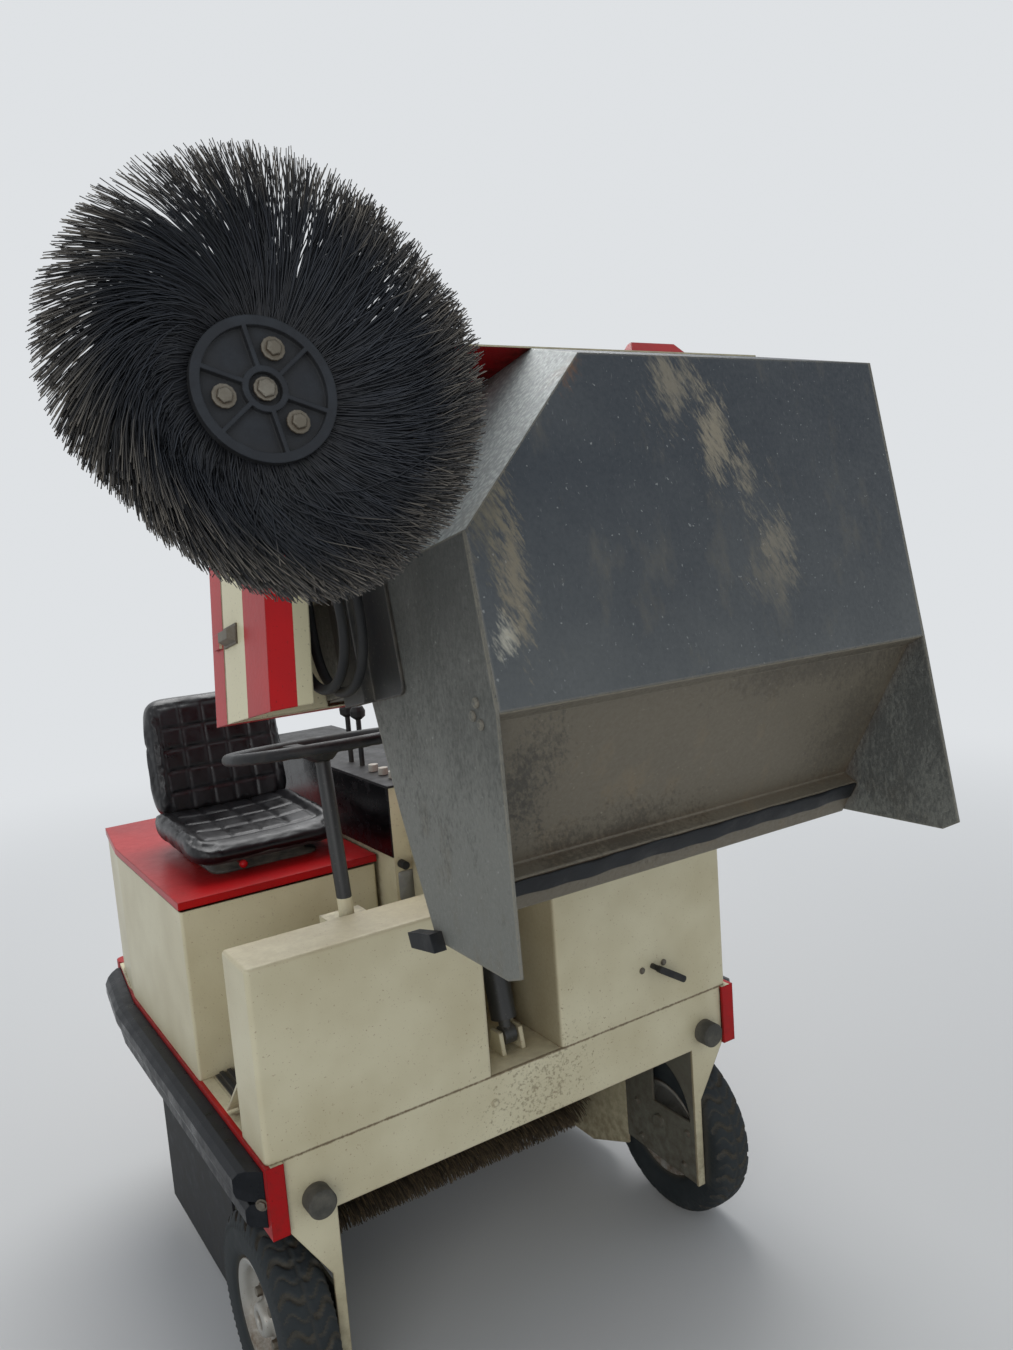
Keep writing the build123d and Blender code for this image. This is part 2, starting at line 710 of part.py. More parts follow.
# Lift arm: two plates from a tube on the shaft to a flange on the hopper's back
ARM_IN = 38
ARM_PLATE = 12
EYE_R = 120
EYE_ANGLE = 215
EYE_Y = PIVOT_Y + EYE_R * math.cos(math.radians(EYE_ANGLE))
EYE_Z = PIVOT_Z + EYE_R * math.sin(math.radians(EYE_ANGLE))
with BuildPart() as lift_arm:
    for side in (-1, 1):
        with BuildSketch(side_plane(side * ARM_IN)):
            with BuildLine():
                Polyline(
                    (HOOD_REAR + 2, 535),
                    (-2, 609),
                    (16, 626),
                    (PIVOT_Y + 24, PIVOT_Z - 36),
                    (PIVOT_Y + 42, PIVOT_Z),
                    (PIVOT_Y + 22, PIVOT_Z + 36),
                    (PIVOT_Y - 18, PIVOT_Z + 38),
                    (EYE_Y - 22, EYE_Z + 20),
                    (EYE_Y - 30, EYE_Z - 14),
                    (-34, 618),
                    (HOOD_REAR + 2, 604),
                    close=True,
                )
            make_face()
        extrude(amount=side * ARM_PLATE)
    with BuildSketch(side_plane(-ARM_IN)):
        with Locations((PIVOT_Y, PIVOT_Z)):
            Circle(32)
    extrude(amount=2 * ARM_IN)
    with BuildSketch(side_plane(-ARM_IN - ARM_PLATE)):
        with Locations((PIVOT_Y, PIVOT_Z)):
            Circle(SHAFT_R + 0.06)
    extrude(amount=2 * (ARM_IN + ARM_PLATE), mode=Mode.SUBTRACT)
    with BuildSketch(side_plane(-120)):
        with Locations((HOOD_REAR - 2, 545)):
            Rectangle(8, 130)
    extrude(amount=240)
pieces["lift_arm"] = lift_arm
tipped.append("lift_arm")

# Hopper pan: floor, leaning front wall, and a cut corner that leaves room for the side brush
CUT_SIDE_Y = -215
CUT_FRONT_X = -182
PAN_RIGHT = HOPPER_RIGHT + WALL
PAN_LEFT = HOPPER_LEFT - WALL
PAN_WIDTH = PAN_LEFT - PAN_RIGHT


def hopper_block(inset, open_by):
    """Solid inside the pan's faces, drawn inset, and longer by open_by where it is open."""
    lean = inset * 0.66
    slide = inset * 1.42
    with BuildPart() as block:
        with BuildSketch(side_plane(PAN_RIGHT - open_by)):
            with BuildLine():
                Polyline(
                    (FLOOR_REAR + open_by, FLOOR_Z + inset),
                    (FLOOR_FRONT + lean, FLOOR_Z + inset),
                    (HOOD_FRONT + inset, HOOD_LOW_Z),
                    (HOOD_FRONT + inset, SIDE_TOP + open_by),
                    (FLOOR_REAR + open_by, SIDE_TOP + open_by),
                    close=True,
                )
            make_face()
        extrude(amount=PAN_WIDTH + 2 * open_by)
        with BuildSketch(Plane.XY):
            with BuildLine():
                Polyline(
                    (PAN_RIGHT - 60, CUT_SIDE_Y + 60 + slide),
                    (CUT_FRONT_X + 150, FLOOR_FRONT - 152 + slide),
                    (PAN_RIGHT - 60, FLOOR_FRONT - 152 + slide),
                    close=True,
                )
            make_face()
        extrude(amount=HOOD_TOP + 100, mode=Mode.SUBTRACT)
    return block.part


with BuildPart() as hopper_pan:
    add(hopper_block(0, 0))
    add(hopper_block(WALL, 30), mode=Mode.SUBTRACT)
pieces["hopper_pan"] = hopper_pan
tipped.append("hopper_pan")

# Hopper sides: plates that run on past the floor to carry the ramp, with rounded corners
BACK_Y = -60
BACK_LOW = 446
SIDE_PLATES = (
    # inner face, outward, front end low and high, and the rear corner's two ends
    (PAN_RIGHT, -1, CUT_SIDE_Y, CUT_SIDE_Y, (343, 158), (348, 190), (310, 371)),
    (PAN_LEFT, 1, FLOOR_FRONT, HOOD_FRONT, (320, 104), (330, 136), (287, 360)),
)
with BuildPart() as hopper_sides:
    for inner, outward, front_low, front_high, corner_low, corner_high, heel in SIDE_PLATES:
        with BuildSketch(side_plane(inner)):
            with BuildLine():
                Polyline(
                    (FLOOR_REAR, FLOOR_Z),
                    corner_low,
                    corner_high,
                    heel,
                    (123, 415),
                    (-35, BACK_LOW - 4),
                    (BACK_Y, BACK_LOW),
                    (BACK_Y, SIDE_TOP),
                    (front_high, SIDE_TOP),
                    (front_high, HOOD_LOW_Z),
                    (front_low, FLOOR_Z),
                    close=True,
                )
            make_face()
        extrude(amount=outward * WALL)
pieces["hopper_sides"] = hopper_sides
tipped.append("hopper_sides")

# Ramp from the floor to the lip, with an angle welded under its upper end
RAMP_LOW = (22, 132)
RAMP_HIGH = (259, 342)
RAMP_ANGLE = math.atan2(RAMP_HIGH[1] - RAMP_LOW[1], RAMP_HIGH[0] - RAMP_LOW[0])


def ramp_point(along, below):
    """Point past the ramp's upper end by along, and below its underside by below."""
    return (
        RAMP_HIGH[0] + along * math.cos(RAMP_ANGLE) + below * math.sin(RAMP_ANGLE),
        RAMP_HIGH[1] + along * math.sin(RAMP_ANGLE) - below * math.cos(RAMP_ANGLE),
    )


ANGLE_SECTION = ((-44, 0), (-40, 0), (-40, 24), (24, 24), (24, 28), (-44, 28))
with BuildPart() as hopper_ramp:
    with BuildSketch(side_plane(PAN_RIGHT)):
        with BuildLine():
            Polyline(
                (FLOOR_REAR, FLOOR_Z),
                RAMP_LOW,
                RAMP_HIGH,
                (RAMP_HIGH[0] - 2.7, RAMP_HIGH[1] + 3),
                (RAMP_LOW[0] - 3.4, RAMP_LOW[1] + 2.4),
                (FLOOR_REAR, FLOOR_Z + WALL + 9),
                close=True,
            )
        make_face()
        with BuildLine():
            Polyline(*[ramp_point(along, below) for along, below in ANGLE_SECTION], close=True)
        make_face()
    extrude(amount=PAN_WIDTH)
pieces["hopper_ramp"] = hopper_ramp
tipped.append("hopper_ramp")

with BuildPart() as hopper_back:
    with BuildSketch(side_plane(PAN_RIGHT)):
        with Locations((BACK_Y + WALL / 2, (BACK_LOW + SIDE_TOP) / 2)):
            Rectangle(WALL, SIDE_TOP - BACK_LOW)
    extrude(amount=PAN_WIDTH)
pieces["hopper_back"] = hopper_back
tipped.append("hopper_back")

# Rubber lip clamped along the ramp's upper end, and a rubber flap at the right plate's corner
LIP_SECTION = ((-38, 0), (12, 0), (12, 8), (-38, 8))
FLAP_Z = (345, 420)
with BuildPart() as rubber_lip:
    with BuildSketch(side_plane(PAN_RIGHT + 6)):
        with BuildLine():
            Polyline(*[ramp_point(along, below) for along, below in LIP_SECTION], close=True)
        make_face()
    extrude(amount=PAN_WIDTH - 12)
    with BuildSketch(side_plane(HOPPER_RIGHT)):
        with BuildLine():
            Polyline(
                (296, FLAP_Z[0] + 6),
                (322, FLAP_Z[0]),
                (320, FLAP_Z[1] - 4),
                (298, FLAP_Z[1]),
                close=True,
            )
        make_face()
    extrude(amount=-20)
pieces["rubber_lip"] = rubber_lip
tipped.append("rubber_lip")

# Hood over the hopper: cheeks that draw in towards the front, with a bevelled lower edge and
# a return flange, and a front plate with a pressed grip along its foot
SHELF_TOP = SIDE_TOP + SHEET
CHEEK_TOP = 656
HOOD_BEVEL = 30
HOOD_RETURN = 25
HOOD_TAPER = 62
HOOD_NOSE = SIDE_HALF - HOOD_TAPER
BEVEL_LOW = HOOD_EDGE - HOOD_BEVEL


def cheek_section(outer, shelf_end):
    """Section of a cheek, its outer face and its shelf's inner end given from the centre line."""
    return [
        (outer, CHEEK_TOP),
        (outer, HOOD_EDGE),
        (outer - HOOD_BEVEL, BEVEL_LOW),
        (outer - HOOD_BEVEL - HOOD_RETURN, BEVEL_LOW),
        (outer - HOOD_BEVEL - HOOD_RETURN, BEVEL_LOW + SHEET),
        (outer - HOOD_BEVEL - 1, BEVEL_LOW + SHEET),
        (outer - SHEET, HOOD_EDGE + 1),
        (outer - SHEET, SIDE_TOP),
        (shelf_end, SIDE_TOP),
        (shelf_end, SHELF_TOP),
        (outer - SHEET, SHELF_TOP),
        (outer - SHEET, CHEEK_TOP),
    ]


with BuildPart() as hood:
    for side, shelf_end in ((-1, -HOPPER_RIGHT), (1, HOPPER_LEFT)):
        for plane_y, outer in ((HOOD_REAR, SIDE_HALF), (HOOD_FRONT, HOOD_NOSE)):
            section = [(side * x, z) for x, z in cheek_section(outer, shelf_end)]
            with BuildSketch(Plane.XZ.offset(-plane_y)):
                with BuildLine():
                    Polyline(*section, close=True)
                make_face()
        loft(ruled=True)
    with BuildSketch(Plane.XZ.offset(-HOOD_FRONT)):
        with BuildLine():
            Polyline(
                (-HOOD_NOSE, CHEEK_TOP),
                (-HOOD_NOSE, HOOD_EDGE),
                (HOPPER_RIGHT, HOOD_LOW_Z),
                (HOPPER_LEFT, HOOD_LOW_Z),
                (HOOD_NOSE, HOOD_EDGE),
                (HOOD_NOSE, CHEEK_TOP),
                close=True,
            )
        make_face()
    extrude(amount=SHEET)
    with BuildSketch(Plane.XZ.offset(-HOOD_FRONT + SHEET)):
        with Locations(((GRIP_X[0] + GRIP_X[1]) / 2, GRIP_Z)):
            Rectangle(GRIP_X[1] - GRIP_X[0], 34)
    extrude(amount=GRIP_OUT, taper=30)
pieces["hood"] = hood
tipped.append("hood")

LID_SKIRT = 661
LATCH_Y = -184
CHEEK_LEAN = math.atan2(HOOD_TAPER, HOOD_REAR - HOOD_FRONT)
LATCH_X = SIDE_HALF - HOOD_TAPER * (HOOD_REAR - LATCH_Y) / (HOOD_REAR - HOOD_FRONT)


def latch_plane(side):
    """Plane on the outside of a hood cheek at the latch, with sketch axes along Y and Z."""
    lean_x = math.sin(CHEEK_LEAN)
    lean_y = math.cos(CHEEK_LEAN)
    return Plane(
        origin=(side * LATCH_X, LATCH_Y, 0),
        x_dir=(side * lean_x, lean_y, 0),
        z_dir=(side * lean_y, -lean_x, 0),
    )


with BuildPart() as hood_lid:
    for top, inset, mode in ((HOOD_TOP, 0, Mode.ADD), (HOOD_TOP - SHEET, SHEET, Mode.SUBTRACT)):
        with BuildSketch(Plane.XY.offset(LID_SKIRT)):
            with BuildLine():
                Polyline(
                    (inset - SIDE_HALF, HOOD_REAR - inset),
                    (SIDE_HALF - inset, HOOD_REAR - inset),
                    (HOOD_NOSE - inset, HOOD_FRONT + inset),
                    (inset - HOOD_NOSE, HOOD_FRONT + inset),
                    close=True,
                )
            make_face()
        extrude(amount=top - LID_SKIRT, mode=mode)
        if mode == Mode.ADD:
            chamfer(hood_lid.faces().sort_by(Axis.Z)[-1].edges(), 4)
    for side in (-1, 1):
        with BuildSketch(latch_plane(side).offset(-1)):
            with Locations((0, side * 680)):
                Rectangle(26, 26)
        extrude(amount=6)
pieces["hood_lid"] = hood_lid
tipped.append("hood_lid")

# Toggle latches across the split: a base plate on each cheek with a lever folded against it
with BuildPart() as hood_latch:
    for side in (-1, 1):
        with BuildSketch(latch_plane(side)):
            with Locations((0, side * 619)):
                Rectangle(32, 64)
        extrude(amount=3)
        with BuildSketch(latch_plane(side).offset(3)):
            with Locations((0, side * 616)):
                Rectangle(24, 54)
        extrude(amount=12, taper=20)
pieces["hood_latch"] = hood_latch
tipped.append("hood_latch")

# Side brush: base plate and channel on the hopper's right side, post, arm and motor flange
POST_X = -442
POST_Y = -310
ARM_LOW = 172
CHANNEL_Z = (420, 490)
arm_turn = math.atan2(BRUSH_Y - POST_Y, BRUSH_X - POST_X)
with BuildPart() as brush_arm:
    with BuildSketch(side_plane(HOPPER_RIGHT)):
        with Locations((-127, 410)):
            RectangleRounded(176, 168, 12)
    extrude(amount=-5)
    with BuildSketch(side_plane(HOPPER_RIGHT)):
        with Locations(((POST_Y - 20 - 39) / 2, sum(CHANNEL_Z) / 2)):
            Rectangle(-39 - POST_Y + 20, CHANNEL_Z[1] - CHANNEL_Z[0])
    extrude(amount=-23)
    with BuildSketch(Plane.XY.offset(ARM_LOW)):
        with Locations((POST_X, POST_Y)):
            Rectangle(20, 40)
    extrude(amount=CHANNEL_Z[1] - ARM_LOW)
    with BuildSketch(Plane.XY.offset(ARM_LOW)):
        with Locations(Location((POST_X, POST_Y, 0), (0, 0, math.degrees(arm_turn)))):
            with Locations((math.hypot(BRUSH_X - POST_X, BRUSH_Y - POST_Y) / 2, 0)):
                Rectangle(math.hypot(BRUSH_X - POST_X, BRUSH_Y - POST_Y), 40)
        with Locations((BRUSH_X, BRUSH_Y)):
            Circle(52)
    extrude(amount=14)
    with BuildSketch(Plane.XZ.offset(-HOSE_END_Y)):
        with Locations((-467, 482)):
            Rectangle(70, 48)
    extrude(amount=6)
pieces["brush_arm"] = brush_arm
tipped.append("brush_arm")

with BuildPart() as brush_motor:
    with BuildSketch(Plane.XY.offset(104)):
        with Locations((BRUSH_X, BRUSH_Y)):
            Circle(42)
    extrude(amount=68)
    with BuildSketch(Plane.XY.offset(106)):
        with Locations((PORT_X - 14, PORT_Y + 8)):
            Rectangle(28, 30)
    extrude(amount=52)
pieces["brush_motor"] = brush_motor
tipped.append("brush_motor")

# Moulded disc: rim, six ribs from a hub ring, and three bolt bosses, open towards the ground
RIBS = 6
DISC_TOP = DISC_Z + 16
with BuildPart() as brush_disc:
    with BuildSketch(Plane.XY.offset(DISC_Z)):
        with Locations((BRUSH_X, BRUSH_Y)):
            Circle(DISC_R)
    extrude(amount=DISC_TOP - DISC_Z)
    with BuildSketch(Plane.XY.offset(DISC_Z - 8)):
        with Locations((BRUSH_X, BRUSH_Y)):
            Circle(DISC_R)
            Circle(DISC_R - 11, mode=Mode.SUBTRACT)
            RegularPolygon(26, 24)
            with PolarLocations(48, RIBS, 20):
                Rectangle(52, 5)
            RegularPolygon(19, 24, mode=Mode.SUBTRACT)
    extrude(amount=8)
    with BuildSketch(Plane.XY.offset(DISC_Z - 6)):
        with Locations((BRUSH_X, BRUSH_Y)):
            with PolarLocations(48, RIBS // 2, 50):
                RegularPolygon(9, 6)
            RegularPolygon(13, 6)
    extrude(amount=6)
    with BuildSketch(Plane.XY.offset(DISC_TOP)):
        with Locations((BRUSH_X, BRUSH_Y)):
            Circle(20)
    extrude(amount=ARM_LOW - 68 - DISC_TOP)
pieces["brush_disc"] = brush_disc
tipped.append("brush_disc")

# Bristles: a shallow cone that sweeps down and out, parted into tufts that lean one way
BRISTLE_SIDES = 48
BRISTLE_TOP = ((30, BRUSH_R), (52, BRUSH_R - 60), (DISC_TOP, DISC_R))
BRISTLE_UNDER = ((8, BRUSH_R - 4), (22, BRUSH_R - 60), (DISC_Z - 8, DISC_R))
TUFT_GAPS = 24
with BuildPart() as brush_bristles:
    for levels, mode in (
        (((8, BRUSH_R),) + BRISTLE_TOP, Mode.ADD),
        (BRISTLE_UNDER, Mode.SUBTRACT),
    ):
        for level, radius in levels:
            with BuildSketch(Plane.XY.offset(level)):
                with Locations((BRUSH_X, BRUSH_Y)):
                    RegularPolygon(radius, BRISTLE_SIDES)
        loft(ruled=True, mode=mode)
    with BuildSketch(Plane.XY.offset(DISC_Z - 8)):
        with Locations((BRUSH_X, BRUSH_Y)):
            Circle(DISC_R)
    extrude(amount=DISC_TOP - DISC_Z + 8, mode=Mode.SUBTRACT)
    with BuildSketch(Plane.XY):
        with Locations((BRUSH_X, BRUSH_Y)):
            with PolarLocations(BRUSH_R, TUFT_GAPS):
                Rectangle(90, 5, rotation=25)
    extrude(amount=100, mode=Mode.SUBTRACT)
pieces["brush_bristles"] = brush_bristles
tipped.append("brush_bristles")

# Hoses of the brush motor: each leaves the motor's port block, loops back beside the hopper
# and ends in the bulkhead plate behind the post
HOSE_R = 7.5
HOSE_ROUTES = (
    # points of the route, from the motor to the bulkhead
    (
        (PORT_X, PORT_Y, 118),
        (PORT_X + 73, PORT_Y, 118),
        (-470, PORT_Y + 17, 166),
        (-466, -345, 234),
        (-466, -290, 290),
        (-465, -212, 312),
        (-466, -110, 310),
        (-466, -58, 362),
        (-466, -58, 434),
        (-466, -110, 486),
        (-465, -222, 482),
        (-465, HOSE_END_Y, 482),
    ),
    (
        (PORT_X, PORT_Y, 148),
        (PORT_X + 68, PORT_Y, 148),
        (-486, PORT_Y + 27, 188),
        (-486, -338, 251),
        (-486, -285, 305),
        (-487, -212, 326),
        (-486, -118, 322),
        (-486, -66, 374),
        (-487, -66, 447),
        (-486, -118, 499),
        (-487, -222, 494),
        (-487, HOSE_END_Y, 494),
    ),
)


def route_radii(points):
    """Radius for each corner of a route: 0.45 of the shorter run over tan(half the turn)."""
    vectors = [Vector(*point) for point in points]
    runs = [after - before for before, after in zip(vectors, vectors[1:])]
    return [
        0.45 * min(first.length, second.length)
        / math.tan(math.radians(first.get_angle(second)) / 2)
        for first, second in zip(runs, runs[1:])
    ]


with BuildPart() as brush_hoses:
    for route in HOSE_ROUTES:
        radii = route_radii(route)
        print("hose radii", [round(radius) for radius in radii])
        with BuildLine() as hose_line:
            FilletPolyline(*route, radius=radii)
        print("hose length", round(sum(edge.length for edge in hose_line.edges())))
        with BuildSketch(Plane(origin=hose_line.line @ 0, z_dir=hose_line.line % 0)):
            RegularPolygon(HOSE_R, 8)
        sweep(path=hose_line.line)
pieces["brush_hoses"] = brush_hoses
tipped.append("brush_hoses")

# Lift cylinder between the deck and the arm, drawn as it stands with the hopper tipped
FOOT_Y = 80
FOOT_Z = 630
turn = math.radians(EYE_ANGLE - LIFT_ANGLE)
TOP_Y = PIVOT_Y + EYE_R * math.cos(turn)
TOP_Z = PIVOT_Z + EYE_R * math.sin(turn)
CYLINDER_LENGTH = math.hypot(TOP_Y - FOOT_Y, TOP_Z - FOOT_Z)
cylinder_plane = Plane(origin=(0, FOOT_Y, FOOT_Z), x_dir=(1, 0, 0),
                       z_dir=(0, TOP_Y - FOOT_Y, TOP_Z - FOOT_Z))
BARREL_R = 27
ROD_R = 12
with BuildPart() as lift_barrel:
    with BuildSketch(side_plane(-14)):
        with Locations((FOOT_Y, FOOT_Z)):
            Circle(20)
    extrude(amount=28)
    with BuildSketch(cylinder_plane):
        Circle(13)
    extrude(amount=40)
    with BuildSketch(cylinder_plane.offset(34)):
        Circle(BARREL_R)
    extrude(amount=266)
    with BuildSketch(cylinder_plane.offset(42)):
        Circle(BARREL_R - 5)
    extrude(amount=240, mode=Mode.SUBTRACT)
    with BuildSketch(cylinder_plane.offset(42)):
        Circle(ROD_R + 0.06)
    extrude(amount=270, mode=Mode.SUBTRACT)
    with BuildSketch(side_plane(-16)):
        with Locations((FOOT_Y, FOOT_Z)):
            Circle(10.05)
    extrude(amount=32, mode=Mode.SUBTRACT)
pieces["lift_barrel"] = lift_barrel

with BuildPart() as lift_rod:
    with BuildSketch(cylinder_plane.offset(240)):
        Circle(ROD_R)
    extrude(amount=CYLINDER_LENGTH - 240)
    with BuildSketch(cylinder_plane.offset(232)):
        Circle(BARREL_R - 5.1)
    extrude(amount=16)
    with BuildSketch(side_plane(-14)):
        with Locations((TOP_Y, TOP_Z)):
            Circle(22)
    extrude(amount=28)
    with BuildSketch(side_plane(-33)):
        with Locations((TOP_Y, TOP_Z)):
            Circle(10)
    extrude(amount=66)
pieces["lift_rod"] = lift_rod

with BuildPart() as cylinder_foot:
    for side in (-1, 1):
        with BuildSketch(side_plane(side * 19)):
            with BuildLine():
                Polyline((FOOT_Y - 26, DECK_TOP), (FOOT_Y + 26, DECK_TOP),
                         (FOOT_Y + 16, FOOT_Z + 14), (FOOT_Y - 16, FOOT_Z + 14), close=True)
            make_face()
        extrude(amount=side * 10)
    with BuildSketch(side_plane(-29)):
        with Locations((FOOT_Y, FOOT_Z)):
            Circle(10)
    extrude(amount=58)
pieces["cylinder_foot"] = cylinder_foot

# Roller brush under the deck: a steel tube with end discs and stub shafts, and tufted bristles
ARM_X = 400
ARM_THICK = 10
STUB_R = 16
with BuildPart() as roller_core:
    with BuildSketch(side_plane(-ROLLER_HALF)):
        with Locations((ROLLER_Y, ROLLER_Z)):
            RegularPolygon(CORE_R, 24)
            RegularPolygon(CORE_R - 6, 24, mode=Mode.SUBTRACT)
    extrude(amount=2 * ROLLER_HALF)
    for side in (-1, 1):
        with BuildSketch(side_plane(side * (ROLLER_HALF - 8))):
            with Locations((ROLLER_Y, ROLLER_Z)):
                RegularPolygon(CORE_R, 24)
        extrude(amount=side * 8)
        with BuildSketch(side_plane(side * ROLLER_HALF)):
            with Locations((ROLLER_Y, ROLLER_Z)):
                Circle(STUB_R)
        extrude(amount=side * (ARM_X + ARM_THICK - ROLLER_HALF))
pieces["roller_core"] = roller_core

TUFT_ROWS = 24
with BuildPart() as roller_bristles:
    with BuildSketch(side_plane(-ROLLER_HALF + 5)):
        with Locations((ROLLER_Y, ROLLER_Z)):
            RegularPolygon(ROLLER_R, 2 * TUFT_ROWS)
            RegularPolygon(CORE_R, 24, mode=Mode.SUBTRACT)
            with PolarLocations(ROLLER_R, TUFT_ROWS, 3.75):
                Rectangle(60, 10, mode=Mode.SUBTRACT)
    extrude(amount=2 * (ROLLER_HALF - 5))
pieces["roller_bristles"] = roller_bristles

# Roller arms: two plates on a cross tube behind the roller, which turns in the housing
HINGE_Y = 690
HINGE_Z = 290
HINGE_PIN_R = 12
with BuildPart() as roller_arms:
    for side in (-1, 1):
        with BuildSketch(side_plane(side * ARM_X)):
            with BuildLine():
                Polyline(
                    (ROLLER_Y - 18, ROLLER_Z - 30),
                    (ROLLER_Y + 20, ROLLER_Z - 34),
                    (HINGE_Y + 8, HINGE_Z - 18),
                    (HINGE_Y + 18, HINGE_Z - 8),
                    (HINGE_Y + 18, HINGE_Z + 8),
                    (HINGE_Y + 8, HINGE_Z + 18),
                    (ROLLER_Y + 20, ROLLER_Z + 34),
                    (ROLLER_Y - 18, ROLLER_Z + 30),
                    (ROLLER_Y - 32, ROLLER_Z + 14),
                    (ROLLER_Y - 32, ROLLER_Z - 14),
                    close=True,
                )
            make_face()
            with Locations((ROLLER_Y, ROLLER_Z)):
                Circle(STUB_R + 0.05, mode=Mode.SUBTRACT)
        extrude(amount=side * ARM_THICK)
        with BuildSketch(side_plane(side * (ARM_X + ARM_THICK))):
            with Locations((HINGE_Y, HINGE_Z)):
                Circle(HINGE_PIN_R)
        extrude(amount=side * (LEG_INNER + STEEL - ARM_X - ARM_THICK))
    with BuildSketch(side_plane(-ARM_X)):
        with Locations((HINGE_Y, HINGE_Z)):
            RegularPolygon(17, 16)
    extrude(amount=2 * ARM_X)
pieces["roller_arms"] = roller_arms

# Roller housing: side plates under the deck with the arms' bearings, a roof and a rear plate
HOUSING_REAR = 715
ROOF_Z = 474
with BuildPart() as roller_housing:
    for side in (-1, 1):
        with BuildSketch(side_plane(side * LEG_INNER)):
            with BuildLine():
                Polyline(
                    (PLATE_REAR + 2, 130),
                    (400, 70),
                    (HOUSING_REAR + 4, 70),
                    (HOUSING_REAR + 4, DECK_TOP - STEEL),
                    (PLATE_REAR + 2, DECK_TOP - STEEL),
                    close=True,
                )
            make_face()
            with Locations((HINGE_Y, HINGE_Z)):
                Circle(HINGE_PIN_R + 0.05, mode=Mode.SUBTRACT)
        extrude(amount=side * STEEL)
    with BuildSketch(side_plane(-LEG_INNER)):
        with BuildLine():
            Polyline(
                (STEEL, ROOF_Z),
                (STEEL, ROOF_Z - 4),
                (HOUSING_REAR, ROOF_Z - 4),
                (HOUSING_REAR, 80),
                (HOUSING_REAR + 4, 80),
                (HOUSING_REAR + 4, ROOF_Z),
                close=True,
            )
        make_face()
    extrude(amount=2 * LEG_INNER)
pieces["roller_housing"] = roller_housing

# Wheels: a faceted tyre with a groove at every lug, staggered on the two halves of the tread,
# and a dished rim with a hub and wheel nuts. Each profile lists x across the wheel and radius.
TYRE_SIDES = 40
LUGS = 20
GROOVE_WIDTH = 8
GROOVE_DEPTH = 8
BEAD_R = RIM_R + 2
SEAT_R = RIM_R + 17
TYRE_LEVELS = (
    (-46, SEAT_R + 6),
    (-TYRE_HALF, 150),
    (-TYRE_HALF + 5, 190),
    (-30, WHEEL_R),
    (30, WHEEL_R),
    (TYRE_HALF - 5, 190),
    (TYRE_HALF, 150),
    (46, SEAT_R + 6),
)
RIM_SIDES = 36
RIM_LEVELS = ((-44, RIM_R + 12), (-40, RIM_R + 14), (-36, RIM_R + 1), (36, RIM_R + 1),
              (40, RIM_R + 14), (44, RIM_R + 12))
DISH_LEVELS = ((12, 84), (24, RIM_R - 8), (38, RIM_R - 6), (44, RIM_R + 6))
BACK_LEVELS = ((-44, RIM_R + 6), (-38, RIM_R - 6), (4, RIM_R - 8))
HUB_LEVELS = ((12, 68), (22, 63), (26, 36), (44, 30))
BACK_HUB_LEVELS = ((-44, 34), (4, 44))
NUT_RING = 49
BORE_R = 17.1


def wheel_loft(centre, face, levels, sides, mode=Mode.ADD):
    """Ruled loft through polygons at the given places across a wheel."""
    rings = []
    for across, radius in levels:
        with BuildSketch(side_plane(centre[0] + face * across)) as ring:
            with Locations((centre[1], centre[2])):
                RegularPolygon(radius, sides)
        rings.append(ring.sketch)
    loft(rings, ruled=True, mode=mode)


for name, x, y, bore_end in (
    ("right", -WHEEL_X, WHEEL_Y, 38),
    ("left", WHEEL_X, WHEEL_Y, 38),
    ("rear", 0, REAR_WHEEL_Y, 45),
):
    centre = (x, y, WHEEL_R)
    face = 1 if x >= 0 else -1
    with BuildPart() as tyre:
        wheel_loft(centre, 1, TYRE_LEVELS, TYRE_SIDES)
        wheel_loft(centre, 1, ((-60, BEAD_R), (60, BEAD_R)), TYRE_SIDES, Mode.SUBTRACT)
        for low, high in ((-60, -35), (35, 60)):
            wheel_loft(centre, 1, ((low, SEAT_R), (high, SEAT_R)), TYRE_SIDES, Mode.SUBTRACT)
        for low, high, start in ((3, TYRE_HALF, 4.5), (-TYRE_HALF, -3, 13.5)):
            with BuildSketch(side_plane(x + low)):
                with Locations((y, WHEEL_R)):
                    with PolarLocations(WHEEL_R, LUGS, start):
                        Rectangle(2 * GROOVE_DEPTH, GROOVE_WIDTH)
            extrude(amount=high - low, mode=Mode.SUBTRACT)
    pieces["tyre_" + name] = tyre
    with BuildPart() as rim:
        wheel_loft(centre, face, RIM_LEVELS, RIM_SIDES)
        wheel_loft(centre, face, DISH_LEVELS, RIM_SIDES, Mode.SUBTRACT)
        wheel_loft(centre, face, BACK_LEVELS, RIM_SIDES, Mode.SUBTRACT)
        wheel_loft(centre, face, HUB_LEVELS, RIM_SIDES)
        wheel_loft(centre, face, BACK_HUB_LEVELS, RIM_SIDES)
        with BuildSketch(side_plane(x + face * 22)):
            with Locations((y, WHEEL_R)):
                with PolarLocations(NUT_RING, 4, 45):
                    RegularPolygon(9, 6)
        extrude(amount=face * 12)
        with BuildSketch(side_plane(x - face * 45)):
            with Locations((y, WHEEL_R)):
                Circle(BORE_R)
        extrude(amount=face * (45 + bore_end), mode=Mode.SUBTRACT)
    pieces["rim_" + name] = rim

